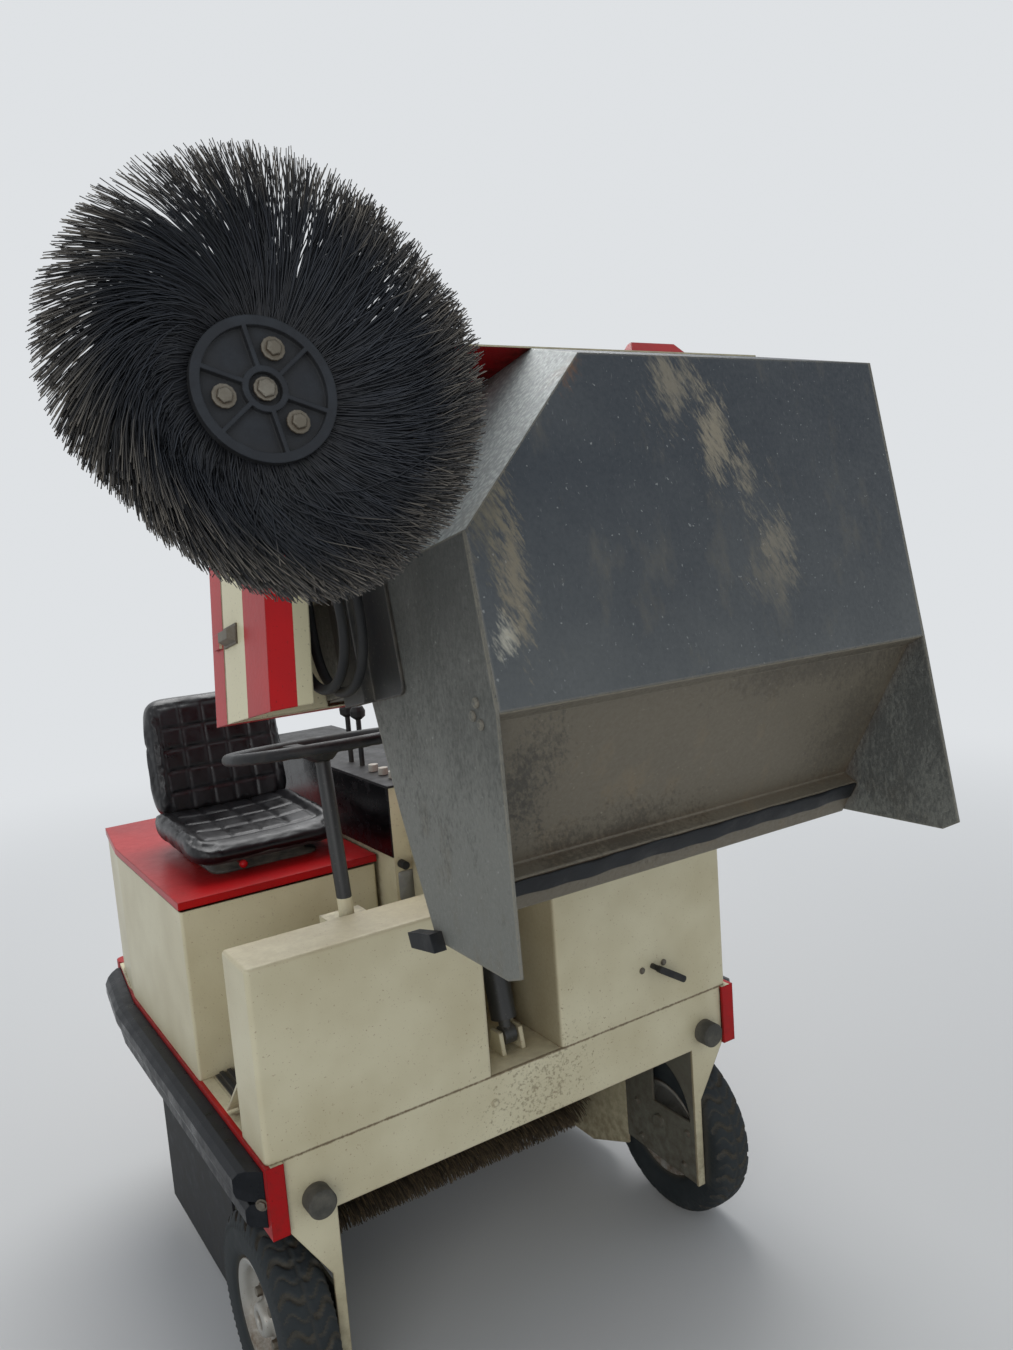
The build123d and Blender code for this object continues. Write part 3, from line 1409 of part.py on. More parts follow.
# Rear fork: stem, crown and two blades with the axle pin between them
with BuildPart() as rear_fork:
    for side in (-1, 1):
        with BuildSketch(side_plane(side * 62)):
            with BuildLine():
                Polyline(
                    (REAR_WHEEL_Y - 30, WHEEL_R - 30),
                    (REAR_WHEEL_Y + 30, WHEEL_R - 30),
                    (STEM_Y + 60, 430),
                    (STEM_Y - 60, 430),
                    close=True,
                )
            make_face()
        extrude(amount=side * 10)
    with BuildSketch(Plane.XY.offset(430)):
        with Locations((0, STEM_Y)):
            Rectangle(144, 120)
    extrude(amount=14)
    with BuildSketch(Plane.XY.offset(444)):
        with Locations((0, STEM_Y)):
            Circle(34)
    extrude(amount=DECK_TOP + 30 - 444)
    with BuildSketch(side_plane(-70)):
        with Locations((REAR_WHEEL_Y, WHEEL_R)):
            Circle(17)
    extrude(amount=140)
pieces["rear_fork"] = rear_fork

# Tip the hopper group, put the origin under the middle of the machine, and write the files
for label in tipped:
    pieces[label].part = pieces[label].part.rotate(LIFT_AXIS, -LIFT_ANGLE)
boxes = [piece.part.bounding_box() for piece in pieces.values()]
origin = Vector(
    (min(box.min.X for box in boxes) + max(box.max.X for box in boxes)) / 2,
    (min(box.min.Y for box in boxes) + max(box.max.Y for box in boxes)) / 2,
    0,
)
print("origin", round(origin.X, 4), round(origin.Y, 4))
print("lowest and highest", min(box.min.Z for box in boxes), max(box.max.Z for box in boxes))
for label, piece in pieces.items():
    piece.part = piece.part.moved(Location(-origin))
    piece.part.label = label
    export_step(piece.part, "parts/" + label + ".step")
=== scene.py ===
import math
from functools import partial

import bpy
import numpy as np
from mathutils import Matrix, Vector


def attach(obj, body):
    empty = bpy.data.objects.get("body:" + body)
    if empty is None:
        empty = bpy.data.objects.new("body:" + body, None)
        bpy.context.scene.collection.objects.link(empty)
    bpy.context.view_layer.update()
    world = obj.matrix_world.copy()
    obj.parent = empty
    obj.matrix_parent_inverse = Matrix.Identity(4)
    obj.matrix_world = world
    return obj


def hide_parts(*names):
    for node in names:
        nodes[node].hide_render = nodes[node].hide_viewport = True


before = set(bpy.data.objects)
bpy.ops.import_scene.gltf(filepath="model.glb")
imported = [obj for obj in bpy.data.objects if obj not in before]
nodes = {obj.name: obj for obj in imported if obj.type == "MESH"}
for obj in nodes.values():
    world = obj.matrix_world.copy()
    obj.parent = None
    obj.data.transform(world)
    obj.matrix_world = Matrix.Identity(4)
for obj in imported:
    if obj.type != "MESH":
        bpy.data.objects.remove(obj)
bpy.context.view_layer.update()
scene = bpy.context.scene

# Camera: the photographer stood close to the front right corner, with a wide lens held
# upright at head height and tipped a little to one side.
DRAWN_TO_ROW = np.array([0.1414123, -0.2904997, 0.0])
CAMERA_PLACE = np.array([-1.0744, -1.7000, 1.6626]) + DRAWN_TO_ROW
CAMERA_TURN = (math.radians(82.271), math.radians(4.188), math.radians(-33.189))
camera = bpy.data.objects.new("camera", bpy.data.cameras.new("camera"))
camera.location = CAMERA_PLACE
camera.rotation_euler = CAMERA_TURN
camera.data.lens = 28.15
camera.data.sensor_width = 36
camera.data.clip_start = 0.05
scene.collection.objects.link(camera)
scene.camera = camera
scene.view_settings.view_transform = "Standard"


def row(x, y, z):
    """A place drawn in millimetres from the beam's face on the centre line, in row metres."""
    return np.stack(np.broadcast_arrays(x, y, z), -1) / 1000 + DRAWN_TO_ROW


def linear(hex_colour):
    """An sRGB hex colour as linear RGBA: c/12.92 below 0.04045, ((c+0.055)/1.055)^2.4 above."""
    shares = [int(hex_colour[i:i + 2], 16) / 255 for i in (1, 3, 5)]
    return [c / 12.92 if c <= 0.04045 else ((c + 0.055) / 1.055) ** 2.4 for c in shares] + [1.0]


def set_up(node, *values, **settings):
    """Sets a node's properties, then its sockets: values in order, the rest by name. A node
    or a socket among the values is linked, a node by its first output in use."""
    for name, value in settings.items():
        if name[0].islower():
            setattr(node, name, value)
    pairs = list(zip([socket for socket in node.inputs if socket.enabled], values))
    pairs += [(node.inputs[name.replace("_", " ")], value)
              for name, value in settings.items() if name[0].isupper()]
    for socket, value in pairs:
        if isinstance(value, bpy.types.Node):
            value = next(output for output in value.outputs if output.enabled)
        if isinstance(value, bpy.types.NodeSocket):
            node.id_data.links.new(value, socket)
        else:
            socket.default_value = value
    return node


def add_node(tree, kind, *values, **settings):
    """Adds a node with its settings and links. Its kind ends in its operation, if any."""
    kind, *operation = kind.split()
    if operation:
        settings["operation"] = operation[0]
    return set_up(tree.nodes.new("ShaderNode" + kind), *values, **settings)


def new_material(name):
    """A material, its shader, and the function that adds nodes to it."""
    material = bpy.data.materials.new(name)
    material.use_nodes = True
    tree = material.node_tree
    return material, tree.nodes["Principled BSDF"], partial(add_node, tree)


# Floor and backdrop: one pale sheet on the ground, seen by the camera and by gloss as an
# even light grey, so that the machine stands in a plain studio.
FLOOR_HALF = 60.0
floor_mesh = bpy.data.meshes.new("floor")
floor_mesh.from_pydata(
    [(-FLOOR_HALF, -FLOOR_HALF, 0), (FLOOR_HALF, -FLOOR_HALF, 0),
     (FLOOR_HALF, FLOOR_HALF, 0), (-FLOOR_HALF, FLOOR_HALF, 0)], [], [(0, 1, 2, 3)])
floor = bpy.data.objects.new("floor", floor_mesh)
scene.collection.objects.link(floor)
floor_paint, shader, add = new_material("floor_paint")
floor_mesh.materials.append(floor_paint)
set_up(shader, Base_Color=linear("#c9c9c8"), Roughness=0.85)
# away from the machine the floor glows as evenly as the backdrop, so no horizon shows
BACKDROP = {"Color": linear("#e4e7ea"), "Strength": 0.95}
GLOW_FROM, GLOW_FULL = 1.4, 6.5
away = add("VectorMath LENGTH", add("TexCoord").outputs["Object"])
far = add("MapRange", away, GLOW_FROM, GLOW_FULL, interpolation_type="SMOOTHSTEP")
blend = add("MixShader", far, shader, add("Emission", **BACKDROP))
set_up(floor_paint.node_tree.nodes["Material Output"], Surface=blend)

world = scene.world = bpy.data.worlds.new("studio")
world.use_nodes = True
world.node_tree.nodes.clear()
add = partial(add_node, world.node_tree)
path = add("LightPath")
seen = add("Math MAXIMUM", path.outputs["Is Camera Ray"], path.outputs["Is Glossy Ray"])
lighting = add("Background", linear("#dfe6ee"), 0.62)
mixed = add("MixShader", seen, lighting, add("Background", **BACKDROP))
add("OutputWorld", Surface=mixed)

for name, place, aim, size, power in (
    ("sky_light", (1.2, 2.6, 5.0), (0, 0, 0.8), 4.0, 190),
    ("front_fill", (-3.4, -4.2, 2.6), (0, 0, 1.0), 3.0, 60),
):
    lamp = bpy.data.objects.new(name, bpy.data.lights.new(name, "AREA"))
    lamp.data.size = size
    lamp.data.energy = power
    lamp.location = place
    lamp.rotation_euler = (Vector(aim) - Vector(place)).to_track_quat("-Z", "Y").to_euler()
    scene.collection.objects.link(lamp)


# Painted steel of the chassis: folded sheet and plate, primed and sprayed in a cream two-pack
# paint that has yellowed in patches, with grime and painted shade in its corners and chips
# along its edges.
def layered(add, colour, layers):
    """Tints laid over a colour one after the other, each where its share is 1."""
    for share, tint in layers:
        colour = add("Mix", share, colour, linear(tint), data_type="RGBA")
    return colour


def worn_paint(name, fresh, faded, grime_and_shade, bare, gloss=0.38, dust=0.35, splash=0.7, chips=0.5,
               specular=0.5, metallic=0.0):
    """Sprayed paint: faded in clouds, dusty where it faces up, dirty low down, grimy and
    darkened by painted shade in corners, and worn to the primer along edges and in small
    specks."""
    material, shader, add = new_material(name)
    place = add("TexCoord")
    spot = place.outputs["Object"]
    # clouds about 170 mm across, mottling of 22 mm and specks of 4 mm
    clouds = add("TexNoise", spot, Scale=1000 / 170, Detail=3.0)
    mottle = add("TexNoise", spot, Scale=1000 / 22, Detail=6.0, Roughness=0.65)
    specks = add("TexNoise", spot, Scale=1000 / 4, Detail=2.0)
    faded_share = add("MapRange", clouds, 0.36, 0.66)
    # dust lies where the panel faces up, splashes where it is near the road
    facing = add("SeparateXYZ", place.outputs["Normal"])
    lying = add("MapRange", facing.outputs["Z"], 0.4, 1.0, To_Max=dust)
    height = add("SeparateXYZ", spot)
    low = add("MapRange", height.outputs["Z"], splash, 0.12, To_Max=0.85)
    soiled_and_shaded = add("Math MAXIMUM", lying, low)
    # corners found by ambient occlusion take the grime colour: grime, and painted shade as well
    corner = add("AmbientOcclusion", Distance=0.035, samples=4)
    hidden = add("MapRange", corner.outputs["AO"], 0.82, 0.3, To_Max=0.85)
    soiled_and_shaded = add("Math MAXIMUM", soiled_and_shaded, hidden)
    patch = add("MapRange", mottle, 0.3, 0.62)
    soiled_and_shaded = add("Math MULTIPLY", soiled_and_shaded, patch)
    # edges rubbed through: the rounded normal turns away from the face's own
    rounded = add("Bevel", Radius=0.004, samples=4)
    face = add("NewGeometry")
    agree = add("VectorMath DOT_PRODUCT", rounded, face.outputs["Normal"])
    rubbed = add("MapRange", agree, 0.97, 0.86, To_Max=chips)
    breaks = add("Math MULTIPLY", rubbed, patch)
    pitted = add("MapRange", specks, 0.68, 0.73, To_Max=chips)
    worn = add("Math MAXIMUM", breaks, pitted)
    colour = layered(add, linear(fresh),
                     ((faded_share, faded), (soiled_and_shaded, grime_and_shade), (worn, bare)))
    rough = add("MapRange", soiled_and_shaded, To_Min=gloss, To_Max=0.85)
    # orange peel of the spray, a tenth of a millimetre deep
    peel = add("TexNoise", spot, Scale=1000 / 9, Detail=4.0)
    bump = add("Bump", Strength=0.12, Distance=0.002, Height=peel, Normal=rounded)
    set_up(shader, Base_Color=colour, Roughness=rough, Normal=bump, Metallic=metallic,
           Specular_IOR_Level=specular)
    return material


def overpaint(material, share, colour, name=None):
    """Lays a second colour where share gives 1: under the wear of a copy, which gets the
    name, or without a name on top of the finish itself. share takes the function that adds
    nodes and the coordinate node."""
    if name:
        material = material.copy()
        material.name = name
    tree = material.node_tree
    add = partial(add_node, tree)
    base = tree.nodes["Principled BSDF"].inputs["Base Color"]
    under = tree.nodes["Mix"].outputs[2] if name else base.links[0].from_socket
    targets = [link.to_socket for link in under.links]
    mixed = add("Mix", share(add, tree.nodes["Texture Coordinate"]), under, linear(colour),
                data_type="RGBA")
    for target in targets:
        tree.links.new(mixed.outputs[2], target)
    return material


def dress(material, *names):
    """Gives CAD nodes their material in place of the flat one."""
    for name in names:
        for slot in nodes[name].material_slots:
            slot.material = material


CREAM = "#d0c8a9"
BEAM_TOP = 0.599
cream_paint = worn_paint("cream_two_pack_paint", CREAM, "#c1b796", "#8a7d63", "#7a4a30",
                         dust=0.25, splash=0.42, chips=0.45)
dress(cream_paint, "seat_box", "deck", "footrest", "console", "engine_case", "pivot_bracket",
      "cylinder_foot", "tow_eye", "roller_housing", "rear_fork", "lift_arm")


def spilt_dirt_and_side_shade(add, place):
    """Brown specks on the beam below the gap between the boxes, dust and painted shade on the
    tank box's side that faces the gap, and dirt in the joint along the beam's upper edge."""
    spot = place.outputs["Object"]
    apart = add("SeparateXYZ", spot)
    facing = add("SeparateXYZ", place.outputs["Normal"])
    speckle = add("TexNoise", spot, Scale=1000 / 8, Detail=5.0, Roughness=0.75)
    away = add("VectorMath DISTANCE", spot, (0.17, -0.29, 0.55))
    near = add("MapRange", away, 0.3, 0.04, To_Max=0.2)
    falling = add("Math ADD", speckle, near)
    falling = add("MapRange", falling, 0.7, 0.78, To_Max=0.55)
    # the tank box's side that faces the gap is darkened all over: painted shade, with a speckle
    # of dust through it
    dusty_shaded_side = add("MapRange", facing.outputs["X"], -0.5, -0.9, To_Max=0.75)
    left = add("Math GREATER_THAN", apart.outputs["X"], 0.05)
    dusty_shaded_side = add("Math MULTIPLY", dusty_shaded_side, left)
    dust_shade_and_seam = add("Math MULTIPLY_ADD", speckle, 0.4, -0.2)
    dust_shade_and_seam = add("Math ADD", dust_shade_and_seam, dusty_shaded_side, use_clamp=True)
    dust_shade_and_seam = add("Math MULTIPLY", dust_shade_and_seam, dusty_shaded_side)
    # the joint between the boxes and the beam holds a broken line of dirt
    off = add("Math SUBTRACT", apart.outputs["Z"], BEAM_TOP)
    off = add("Math ABSOLUTE", off)
    seam = add("MapRange", off, 0.006, 0.001, To_Max=2.0)
    seam = add("Math MULTIPLY", seam, speckle)
    seam = add("MapRange", seam, 0.5, 1.0, To_Max=0.85)
    dust_shade_and_seam = add("Math MAXIMUM", dust_shade_and_seam, seam)
    return add("Math MAXIMUM", falling, dust_shade_and_seam)


dress(overpaint(cream_paint, spilt_dirt_and_side_shade, "#6f6046", "dirty_and_shaded_cream_paint"), "front_beam",
      "tank_box", "steering_box")
plate_paint = worn_paint("dirty_grey_plate_paint", "#6f6e62", "#625f54", "#4b4437", "#5a3a26",
                         splash=0.6)
dress(plate_paint, "axle_plates")
red_paint = worn_paint("red_two_pack_paint", "#b40f14", "#a01116", "#4d2a22", "#3a1512",
                       gloss=0.3, dust=0.12, specular=0.18)
dress(red_paint, "rear_beam", "seat_lid", "engine_hood")
CHANNEL_CREAM_HALF = 0.552


def channel_top(add, place):
    """The channels' upper faces are cream up to 9 mm from their outer edge."""
    facing = add("SeparateXYZ", place.outputs["Normal"])
    upward = add("Math GREATER_THAN", facing.outputs["Z"], 0.7)
    spot = add("SeparateXYZ", place.outputs["Object"])
    across = add("Math SUBTRACT", spot.outputs["X"], DRAWN_TO_ROW[0])
    across = add("Math ABSOLUTE", across)
    within = add("Math LESS_THAN", across, CHANNEL_CREAM_HALF)
    return add("Math MULTIPLY", upward, within)


dress(overpaint(red_paint, channel_top, CREAM, "red_and_cream_channel_paint"), "side_channels")
black_paint = worn_paint("black_chassis_enamel", "#232425", "#2c2d2c", "#6a6355", "#77716a",
                         gloss=0.42, dust=0.5)
dress(black_paint, "lift_barrel", "brush_arm", "roller_arms")
COLUMN_FOOT_TOP = 0.982


def column_foot(add, place):
    """The bracket at the column's foot is sprayed with the box it stands on."""
    spot = add("SeparateXYZ", place.outputs["Object"])
    return add("Math LESS_THAN", spot.outputs["Z"], COLUMN_FOOT_TOP)


dress(overpaint(black_paint, column_foot, CREAM, "black_and_cream_column_paint"),
      "steering_column")


# Hopper: a welded steel pan that carries the sweepings, its dark paint scoured by grit, with
# grey galvanised side plates and a dusty ramp that the roller throws the dirt up.
PIVOT_Y = 238
PIVOT_Z = 1035
TIP = math.radians(101.7)
TIPPED_UP = (0, math.sin(TIP), math.cos(TIP))


def tipped(x, y, z):
    """A place drawn with the hopper down, turned about the lift pivot into the tipped pose."""
    dy, dz = y - PIVOT_Y, z - PIVOT_Z
    return row(x, PIVOT_Y + math.cos(TIP) * dy + math.sin(TIP) * dz,
               PIVOT_Z - math.sin(TIP) * dy + math.cos(TIP) * dz)


def scoured_steel(name, dark, mid, pale, scrape, scratch, marks,
                  smear_share=0.75, pits=0.35):
    """Steel rubbed by grit: darker towards the top of the tipped pan and greyer lower down, tan
    scrapes, rust blooms and fine scratches drawn out along the slope. Each of the marks is a
    ragged patch with its centre in row metres, its half sizes in millimetres, a tint and a
    share."""
    material, shader, add = new_material(name)
    place = add("TexCoord")
    spot = place.outputs["Object"]
    clouds = add("TexNoise", spot, Scale=1000 / 210, Detail=5.0, Roughness=0.6)
    grain = add("TexNoise", spot, Scale=1000 / 7, Detail=5.0, Roughness=0.7)
    height = add("SeparateXYZ", spot)
    # darker at the top of the tipped pan, greyer towards its lower end
    level = add("MapRange", height.outputs["Z"], 1.75, 1.15)
    level = add("Math MULTIPLY_ADD", clouds, 0.7, level)
    level = add("MapRange", level, 0.35, 1.1)
    layers = [(level, mid)]
    # long scratches: noise drawn out 25 times along the slope of the tipped floor
    drawn = add("Mapping", spot, Rotation=(0.2, 0.35, 0), Scale=(420, 420, 22))
    lines = add("TexNoise", drawn, Scale=1.0, Detail=3.0)
    fine = add("MapRange", lines, 0.66, 0.78, To_Max=scratch)
    layers.append((fine, pale))
    # flecks of bare metal, 3 mm across, drawn a little larger than the real grit's marks
    flecks = add("TexNoise", spot, Scale=1000 / 6, Detail=1.0)
    flecked = add("MapRange", flecks, 0.745, 0.775, To_Max=0.8)
    layers.append((flecked, pale))
    # scrapes and dust patches about 90 mm long
    smear = add("Mapping", spot, Rotation=(0, 0.5, 0), Scale=(15, 12, 6))
    smears = add("TexNoise", smear, Scale=1.0, Detail=6.0, Roughness=0.68)
    smeared = add("MapRange", smears, 0.56, 0.7, To_Max=smear_share)
    gritty = add("Math MULTIPLY", smeared, grain)
    gritty = add("Math MULTIPLY", gritty, 1.6, use_clamp=True)
    layers.append((gritty, scrape))
    # the marks are broken into streaks that run down to the machine's left, 3 mm wide
    slanted = add("Mapping", spot, Rotation=(0, -0.5, 0), Scale=(0.006, 0.006, 0.07),
                  vector_type="TEXTURE")
    streaks = add("TexNoise", slanted, Scale=1.0, Detail=5.0, Roughness=0.75)
    for centre, size, tint, share in marks:
        away = add("VectorMath SUBTRACT", spot, centre)
        scaled = add("VectorMath DIVIDE", away, tuple(np.array(size) / 1000))
        reach = add("VectorMath LENGTH", scaled)
        ragged = add("Math MULTIPLY_ADD", smears, -2.6, reach)
        broken = add("Math MULTIPLY_ADD", streaks, -4.0, ragged)
        inside = add("MapRange", broken, -2.35, -3.2, To_Max=share)
        layers.append((inside, tint))
    corner = add("AmbientOcclusion", Distance=0.04, samples=4)
    hidden = add("MapRange", corner.outputs["AO"], 0.75, 0.25, To_Max=0.7)
    rusty = add("Math MULTIPLY", hidden, grain)
    # dried mud along the edges: the rounded normal turns away from the face's own
    rounded = add("Bevel", Radius=0.006, samples=4)
    face = add("NewGeometry")
    agree = add("VectorMath DOT_PRODUCT", rounded, face.outputs["Normal"])
    edge = add("MapRange", agree, 0.985, 0.9, To_Max=2.0)
    crust = add("Math MULTIPLY", edge, grain)
    crust = add("MapRange", crust, 0.55, 1.0, To_Max=0.7)
    colour = layered(add, linear(dark), layers + [(rusty, "#5b3a22"), (crust, "#a29b8a")])
    rough = add("MapRange", grain, 0.3, 0.7, To_Min=0.42, To_Max=0.75)
    bump = add("Bump", Strength=pits, Distance=0.003, Height=grain, Normal=rounded)
    set_up(shader, Base_Color=colour, Roughness=rough, Normal=bump, Metallic=0.15)
    return material


# marks of use: centre in row metres, half sizes in millimetres, tint, share
FLOOR_MARKS = (
    ((0.120, -0.840, 1.850), (60, 60, 70), "#817a6a", 0.8),
    ((0.185, -0.853, 1.780), (40, 60, 72), "#89816f", 0.9),
    ((0.235, -0.868, 1.715), (34, 60, 62), "#817a6a", 0.9),
    ((0.274, -0.886, 1.621), (34, 60, 56), "#827b6b", 0.7),
    ((-0.236, -0.905, 1.531), (20, 60, 28), "#a9a698", 0.95),
    ((-0.205, -0.888, 1.620), (26, 60, 120), "#857c68", 0.75),
    ((-0.225, -0.880, 1.690), (46, 60, 70), "#6b6554", 0.7),
    ((-0.062, -0.833, 1.880), (22, 80, 40), "#6b4a30", 0.7),
    ((0.240, -0.880, 1.560), (60, 60, 40), "#6f6a5e", 0.5),
)
pan_steel = scoured_steel("grit_scoured_paint", "#33393f", "#5c5f5f", "#878a89", "#77705f",
                          0.4, FLOOR_MARKS, smear_share=0.3)


def lit_corner_walls(add, place):
    """The pan's corner walls, picked out by the way they face, are painted pale: painted light,
    broken by pimples.
    """
    turned_to = add("SeparateXYZ", place.outputs["Normal"])
    lit_wall = add("Math MULTIPLY", turned_to.outputs["X"], turned_to.outputs["Z"])
    lit_wall = add("Math ABSOLUTE", lit_wall)
    lit_wall = add("Math GREATER_THAN", lit_wall, 0.2)
    pimples = add("TexVoronoi", place.outputs["Object"], Scale=1000 / 9)
    pimpled = add("MapRange", pimples, 0, 0.6, To_Min=0.95, To_Max=0.45)
    return add("Math MULTIPLY", lit_wall, pimpled)


# the pan's tilted corner walls are painted paler: painted light
overpaint(pan_steel, lit_corner_walls, "#b2b8b4")
dress(pan_steel, "hopper_pan", "hopper_back")
PLATE_MARKS = (
    ((-0.268, -0.860, 1.650), (60, 500, 330), "#3c3e3a", 0.6),
    ((-0.268, -0.860, 1.420), (60, 400, 160), "#4b4d48", 0.5),
    ((0.559, -0.900, 1.300), (60, 400, 230), "#383a3a", 0.65),
)
plate_steel = scoured_steel("weathered_zinc_plate", "#3b3b39", "#73746e", "#94958f", "#6d685c",
                            0.3, PLATE_MARKS, pits=0.8)
dress(plate_steel, "hopper_sides")
RAMP_MARKS = (
    ((-0.180, -0.850, 1.330), (60, 300, 150), "#3b3934", 0.75),
    ((0.020, -0.800, 1.190), (190, 300, 60), "#423d35", 0.7),
    ((0.350, -0.900, 1.420), (300, 300, 40), "#47423a", 0.6),
    ((0.500, -0.850, 1.290), (110, 300, 120), "#4a453d", 0.5),
)
ramp_steel = scoured_steel("dusty_ramp_plate", "#5f594d", "#6b6456", "#8b8474", "#7a6d58",
                           0.4, RAMP_MARKS)
dress(ramp_steel, "hopper_ramp")


def bands(rings, around, copies=1):
    """Quads between each ring of points and the next, for as many like copies."""
    i, j = np.meshgrid(np.arange(rings - 1), np.arange(around), indexing="ij")
    quads = np.stack([i * around + j, i * around + (j + 1) % around,
                      (i + 1) * around + (j + 1) % around, (i + 1) * around + j], -1)
    first = rings * around * np.arange(copies)[:, None, None]
    return (quads.reshape(-1, 4) + first).reshape(-1, 4)


def new_piece(name, points, faces, smooth=True):
    """A piece whose mesh has these points, in row metres, and these faces."""
    mesh = bpy.data.meshes.new(name)
    mesh.from_pydata(points.reshape(-1, 3).tolist(), [], faces)
    if smooth:
        mesh.shade_smooth()
    piece = bpy.data.objects.new(name, mesh)
    scene.collection.objects.link(piece)
    return piece


def face_outwards(piece):
    """Turns the faces of a closed piece outwards, when its signed volume is negative."""
    mesh = piece.data
    mesh.calc_loop_triangles()
    corners = np.array([mesh.vertices[i].co for t in mesh.loop_triangles for i in t.vertices])
    a, b, c = corners.reshape(-1, 3, 3).transpose(1, 0, 2)
    if np.einsum("ij,ij->i", a, np.cross(b, c)).sum() < 0:
        mesh.flip_normals()


def capped_grid(name, points):
    """Mesh over a grid of rings, closed by a fan to one point at each end."""
    rows, around = points.shape[:2]
    ends = np.array([points[0].mean(0), points[-1].mean(0)])
    low, last = rows * around, (rows - 1) * around
    fans = [(low, (a + 1) % around, a) for a in range(around)]
    fans += [(low + 1, last + a, last + (a + 1) % around) for a in range(around)]
    piece = new_piece(name, np.concatenate([points.reshape(-1, 3), ends]),
                      bands(rows, around).tolist() + fans)
    face_outwards(piece)
    return piece


def fit(piece, material, slot, body, *stands_for):
    """Gives a piece its material and the body it rides on, and hides the CAD nodes that it
    stands for. slot is not used."""
    piece.data.materials.append(material)
    if stands_for:
        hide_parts(*stands_for)
    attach(piece, body)


# the lip's strip, 28 mm wide and 5 mm thick, is screwed to the face of the ramp's angle
RAMP_HIGH = (259, 342)
RAMP_ANGLE = math.atan2(210, 237)
LIP_FROM, LIP_TO = -399, 412
lip_x = np.linspace(LIP_FROM, LIP_TO, 82)[:, None]
corner_along, corner_below = np.array(
    [(-40, 28.4), (-12, 28.4), (-10.5, 29), (-10, 31), (-11, 33), (-13, 33.6), (-39, 33.6),
     (-41, 33), (-42, 31), (-41.5, 29)]).T[:, None]
wave = 0.9 * np.sin(lip_x / 37) + 0.7 * np.sin(lip_x / 13 + 2)
along = corner_along + 0.8 * wave + 6 * (0.5 - (lip_x - LIP_FROM) / (LIP_TO - LIP_FROM))
below = corner_below + np.where(corner_below > 30, wave, 0)
lip_strip = capped_grid("ramp_lip_strip", tipped(
    lip_x, RAMP_HIGH[0] + along * math.cos(RAMP_ANGLE) + below * math.sin(RAMP_ANGLE),
    RAMP_HIGH[1] + along * math.sin(RAMP_ANGLE) - below * math.cos(RAMP_ANGLE)))
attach(lip_strip, "hopper")


# Hopper hood: pressed sheet in the body's red and cream. The lid's skirt and the lower edge
# are red, a cream band runs between them, and the bevel under the edge is red again.
def hood_bands(add, place):
    """Bands across the hood: they follow the height that a spot has when the hopper is down,
    which is its distance along the tipped hood's own up."""
    # height with the hopper down: the row place, less the pivot, along the turned up axis
    pivot = tuple(row(0, PIVOT_Y, PIVOT_Z))
    offset = add("VectorMath SUBTRACT", place.outputs["Object"], pivot)
    up = add("VectorMath DOT_PRODUCT", offset, TIPPED_UP)
    wobble = add("TexNoise", place.outputs["Object"], Scale=1000 / 8, Detail=2.0)
    edge = add("Math MULTIPLY_ADD", wobble, 0.0015, up)
    above = add("Math GREATER_THAN", edge, (556 - PIVOT_Z) / 1000)
    below = add("Math LESS_THAN", edge, (660 - PIVOT_Z) / 1000)
    side = add("SeparateXYZ", place.outputs["Normal"])
    aside = add("Math ABSOLUTE", side.outputs["X"])
    cheek = add("Math GREATER_THAN", aside, 0.5)
    band = add("Math MULTIPLY", above, below)
    band = add("Math MULTIPLY", band, cheek)
    # the return flange under the bevel was never sprayed red: it faces straight down
    downward = add("VectorMath DOT_PRODUCT", place.outputs["Normal"], TIPPED_UP)
    flange = add("Math LESS_THAN", downward, -0.9)
    return add("Math MAXIMUM", band, flange)


dress(overpaint(red_paint, hood_bands, "#d5cdab", "red_and_cream_hood_paint"), "hood",
      "hood_lid")


# Side brush: stiff plastic bristles, stapled in tufts into a moulded disc, sweep outwards and
# down. Use has swirled them one way, bleached the tips and pressed the tufts into each other.
BRUSH = (-643, -376)
DISC_Z = 70


def full_turn(count):
    """Evenly spaced angles round a circle."""
    return 2 * np.pi * np.arange(count) / count


def strands(name, roots, bends, tips, thick, steps, tones):
    """Thin three-sided rods along the quadratic curves root, bend, tip: the centre at t is
    (1-t)^2 root + 2t(1-t) bend + t^2 tip, and the thickness falls to half at the tip. The
    attribute along is t, and tone is one number for each rod."""
    count = len(roots)
    t = np.linspace(0, 1, steps + 1)[None, :, None]
    a, b, c = roots[:, None], bends[:, None], tips[:, None]
    centre = (1 - t) ** 2 * a + 2 * t * (1 - t) * b + t ** 2 * c
    heading = 2 * (1 - t) * (b - a) + 2 * t * (c - b)
    heading /= np.linalg.norm(heading, axis=2, keepdims=True)
    across = np.cross(heading, np.array([0.31, 0.52, 0.79]))
    across /= np.linalg.norm(across, axis=2, keepdims=True)
    other = np.cross(heading, across)
    radius = thick / 2 * (1 - 0.5 * t)
    ring = [centre + radius * (math.cos(turn) * across + math.sin(turn) * other)
            for turn in full_turn(3)]
    piece = new_piece(name, np.stack(ring, 2), bands(steps + 1, 3, count).tolist())
    along = np.repeat(np.broadcast_to(t[0, :, 0], (count, steps + 1)).reshape(-1), 3)
    for kind, values in (("along", along), ("tone", np.repeat(tones, 3 * (steps + 1)))):
        attribute = piece.data.attributes.new(kind, "FLOAT", "POINT")
        attribute.data.foreach_set("value", values)
    return piece


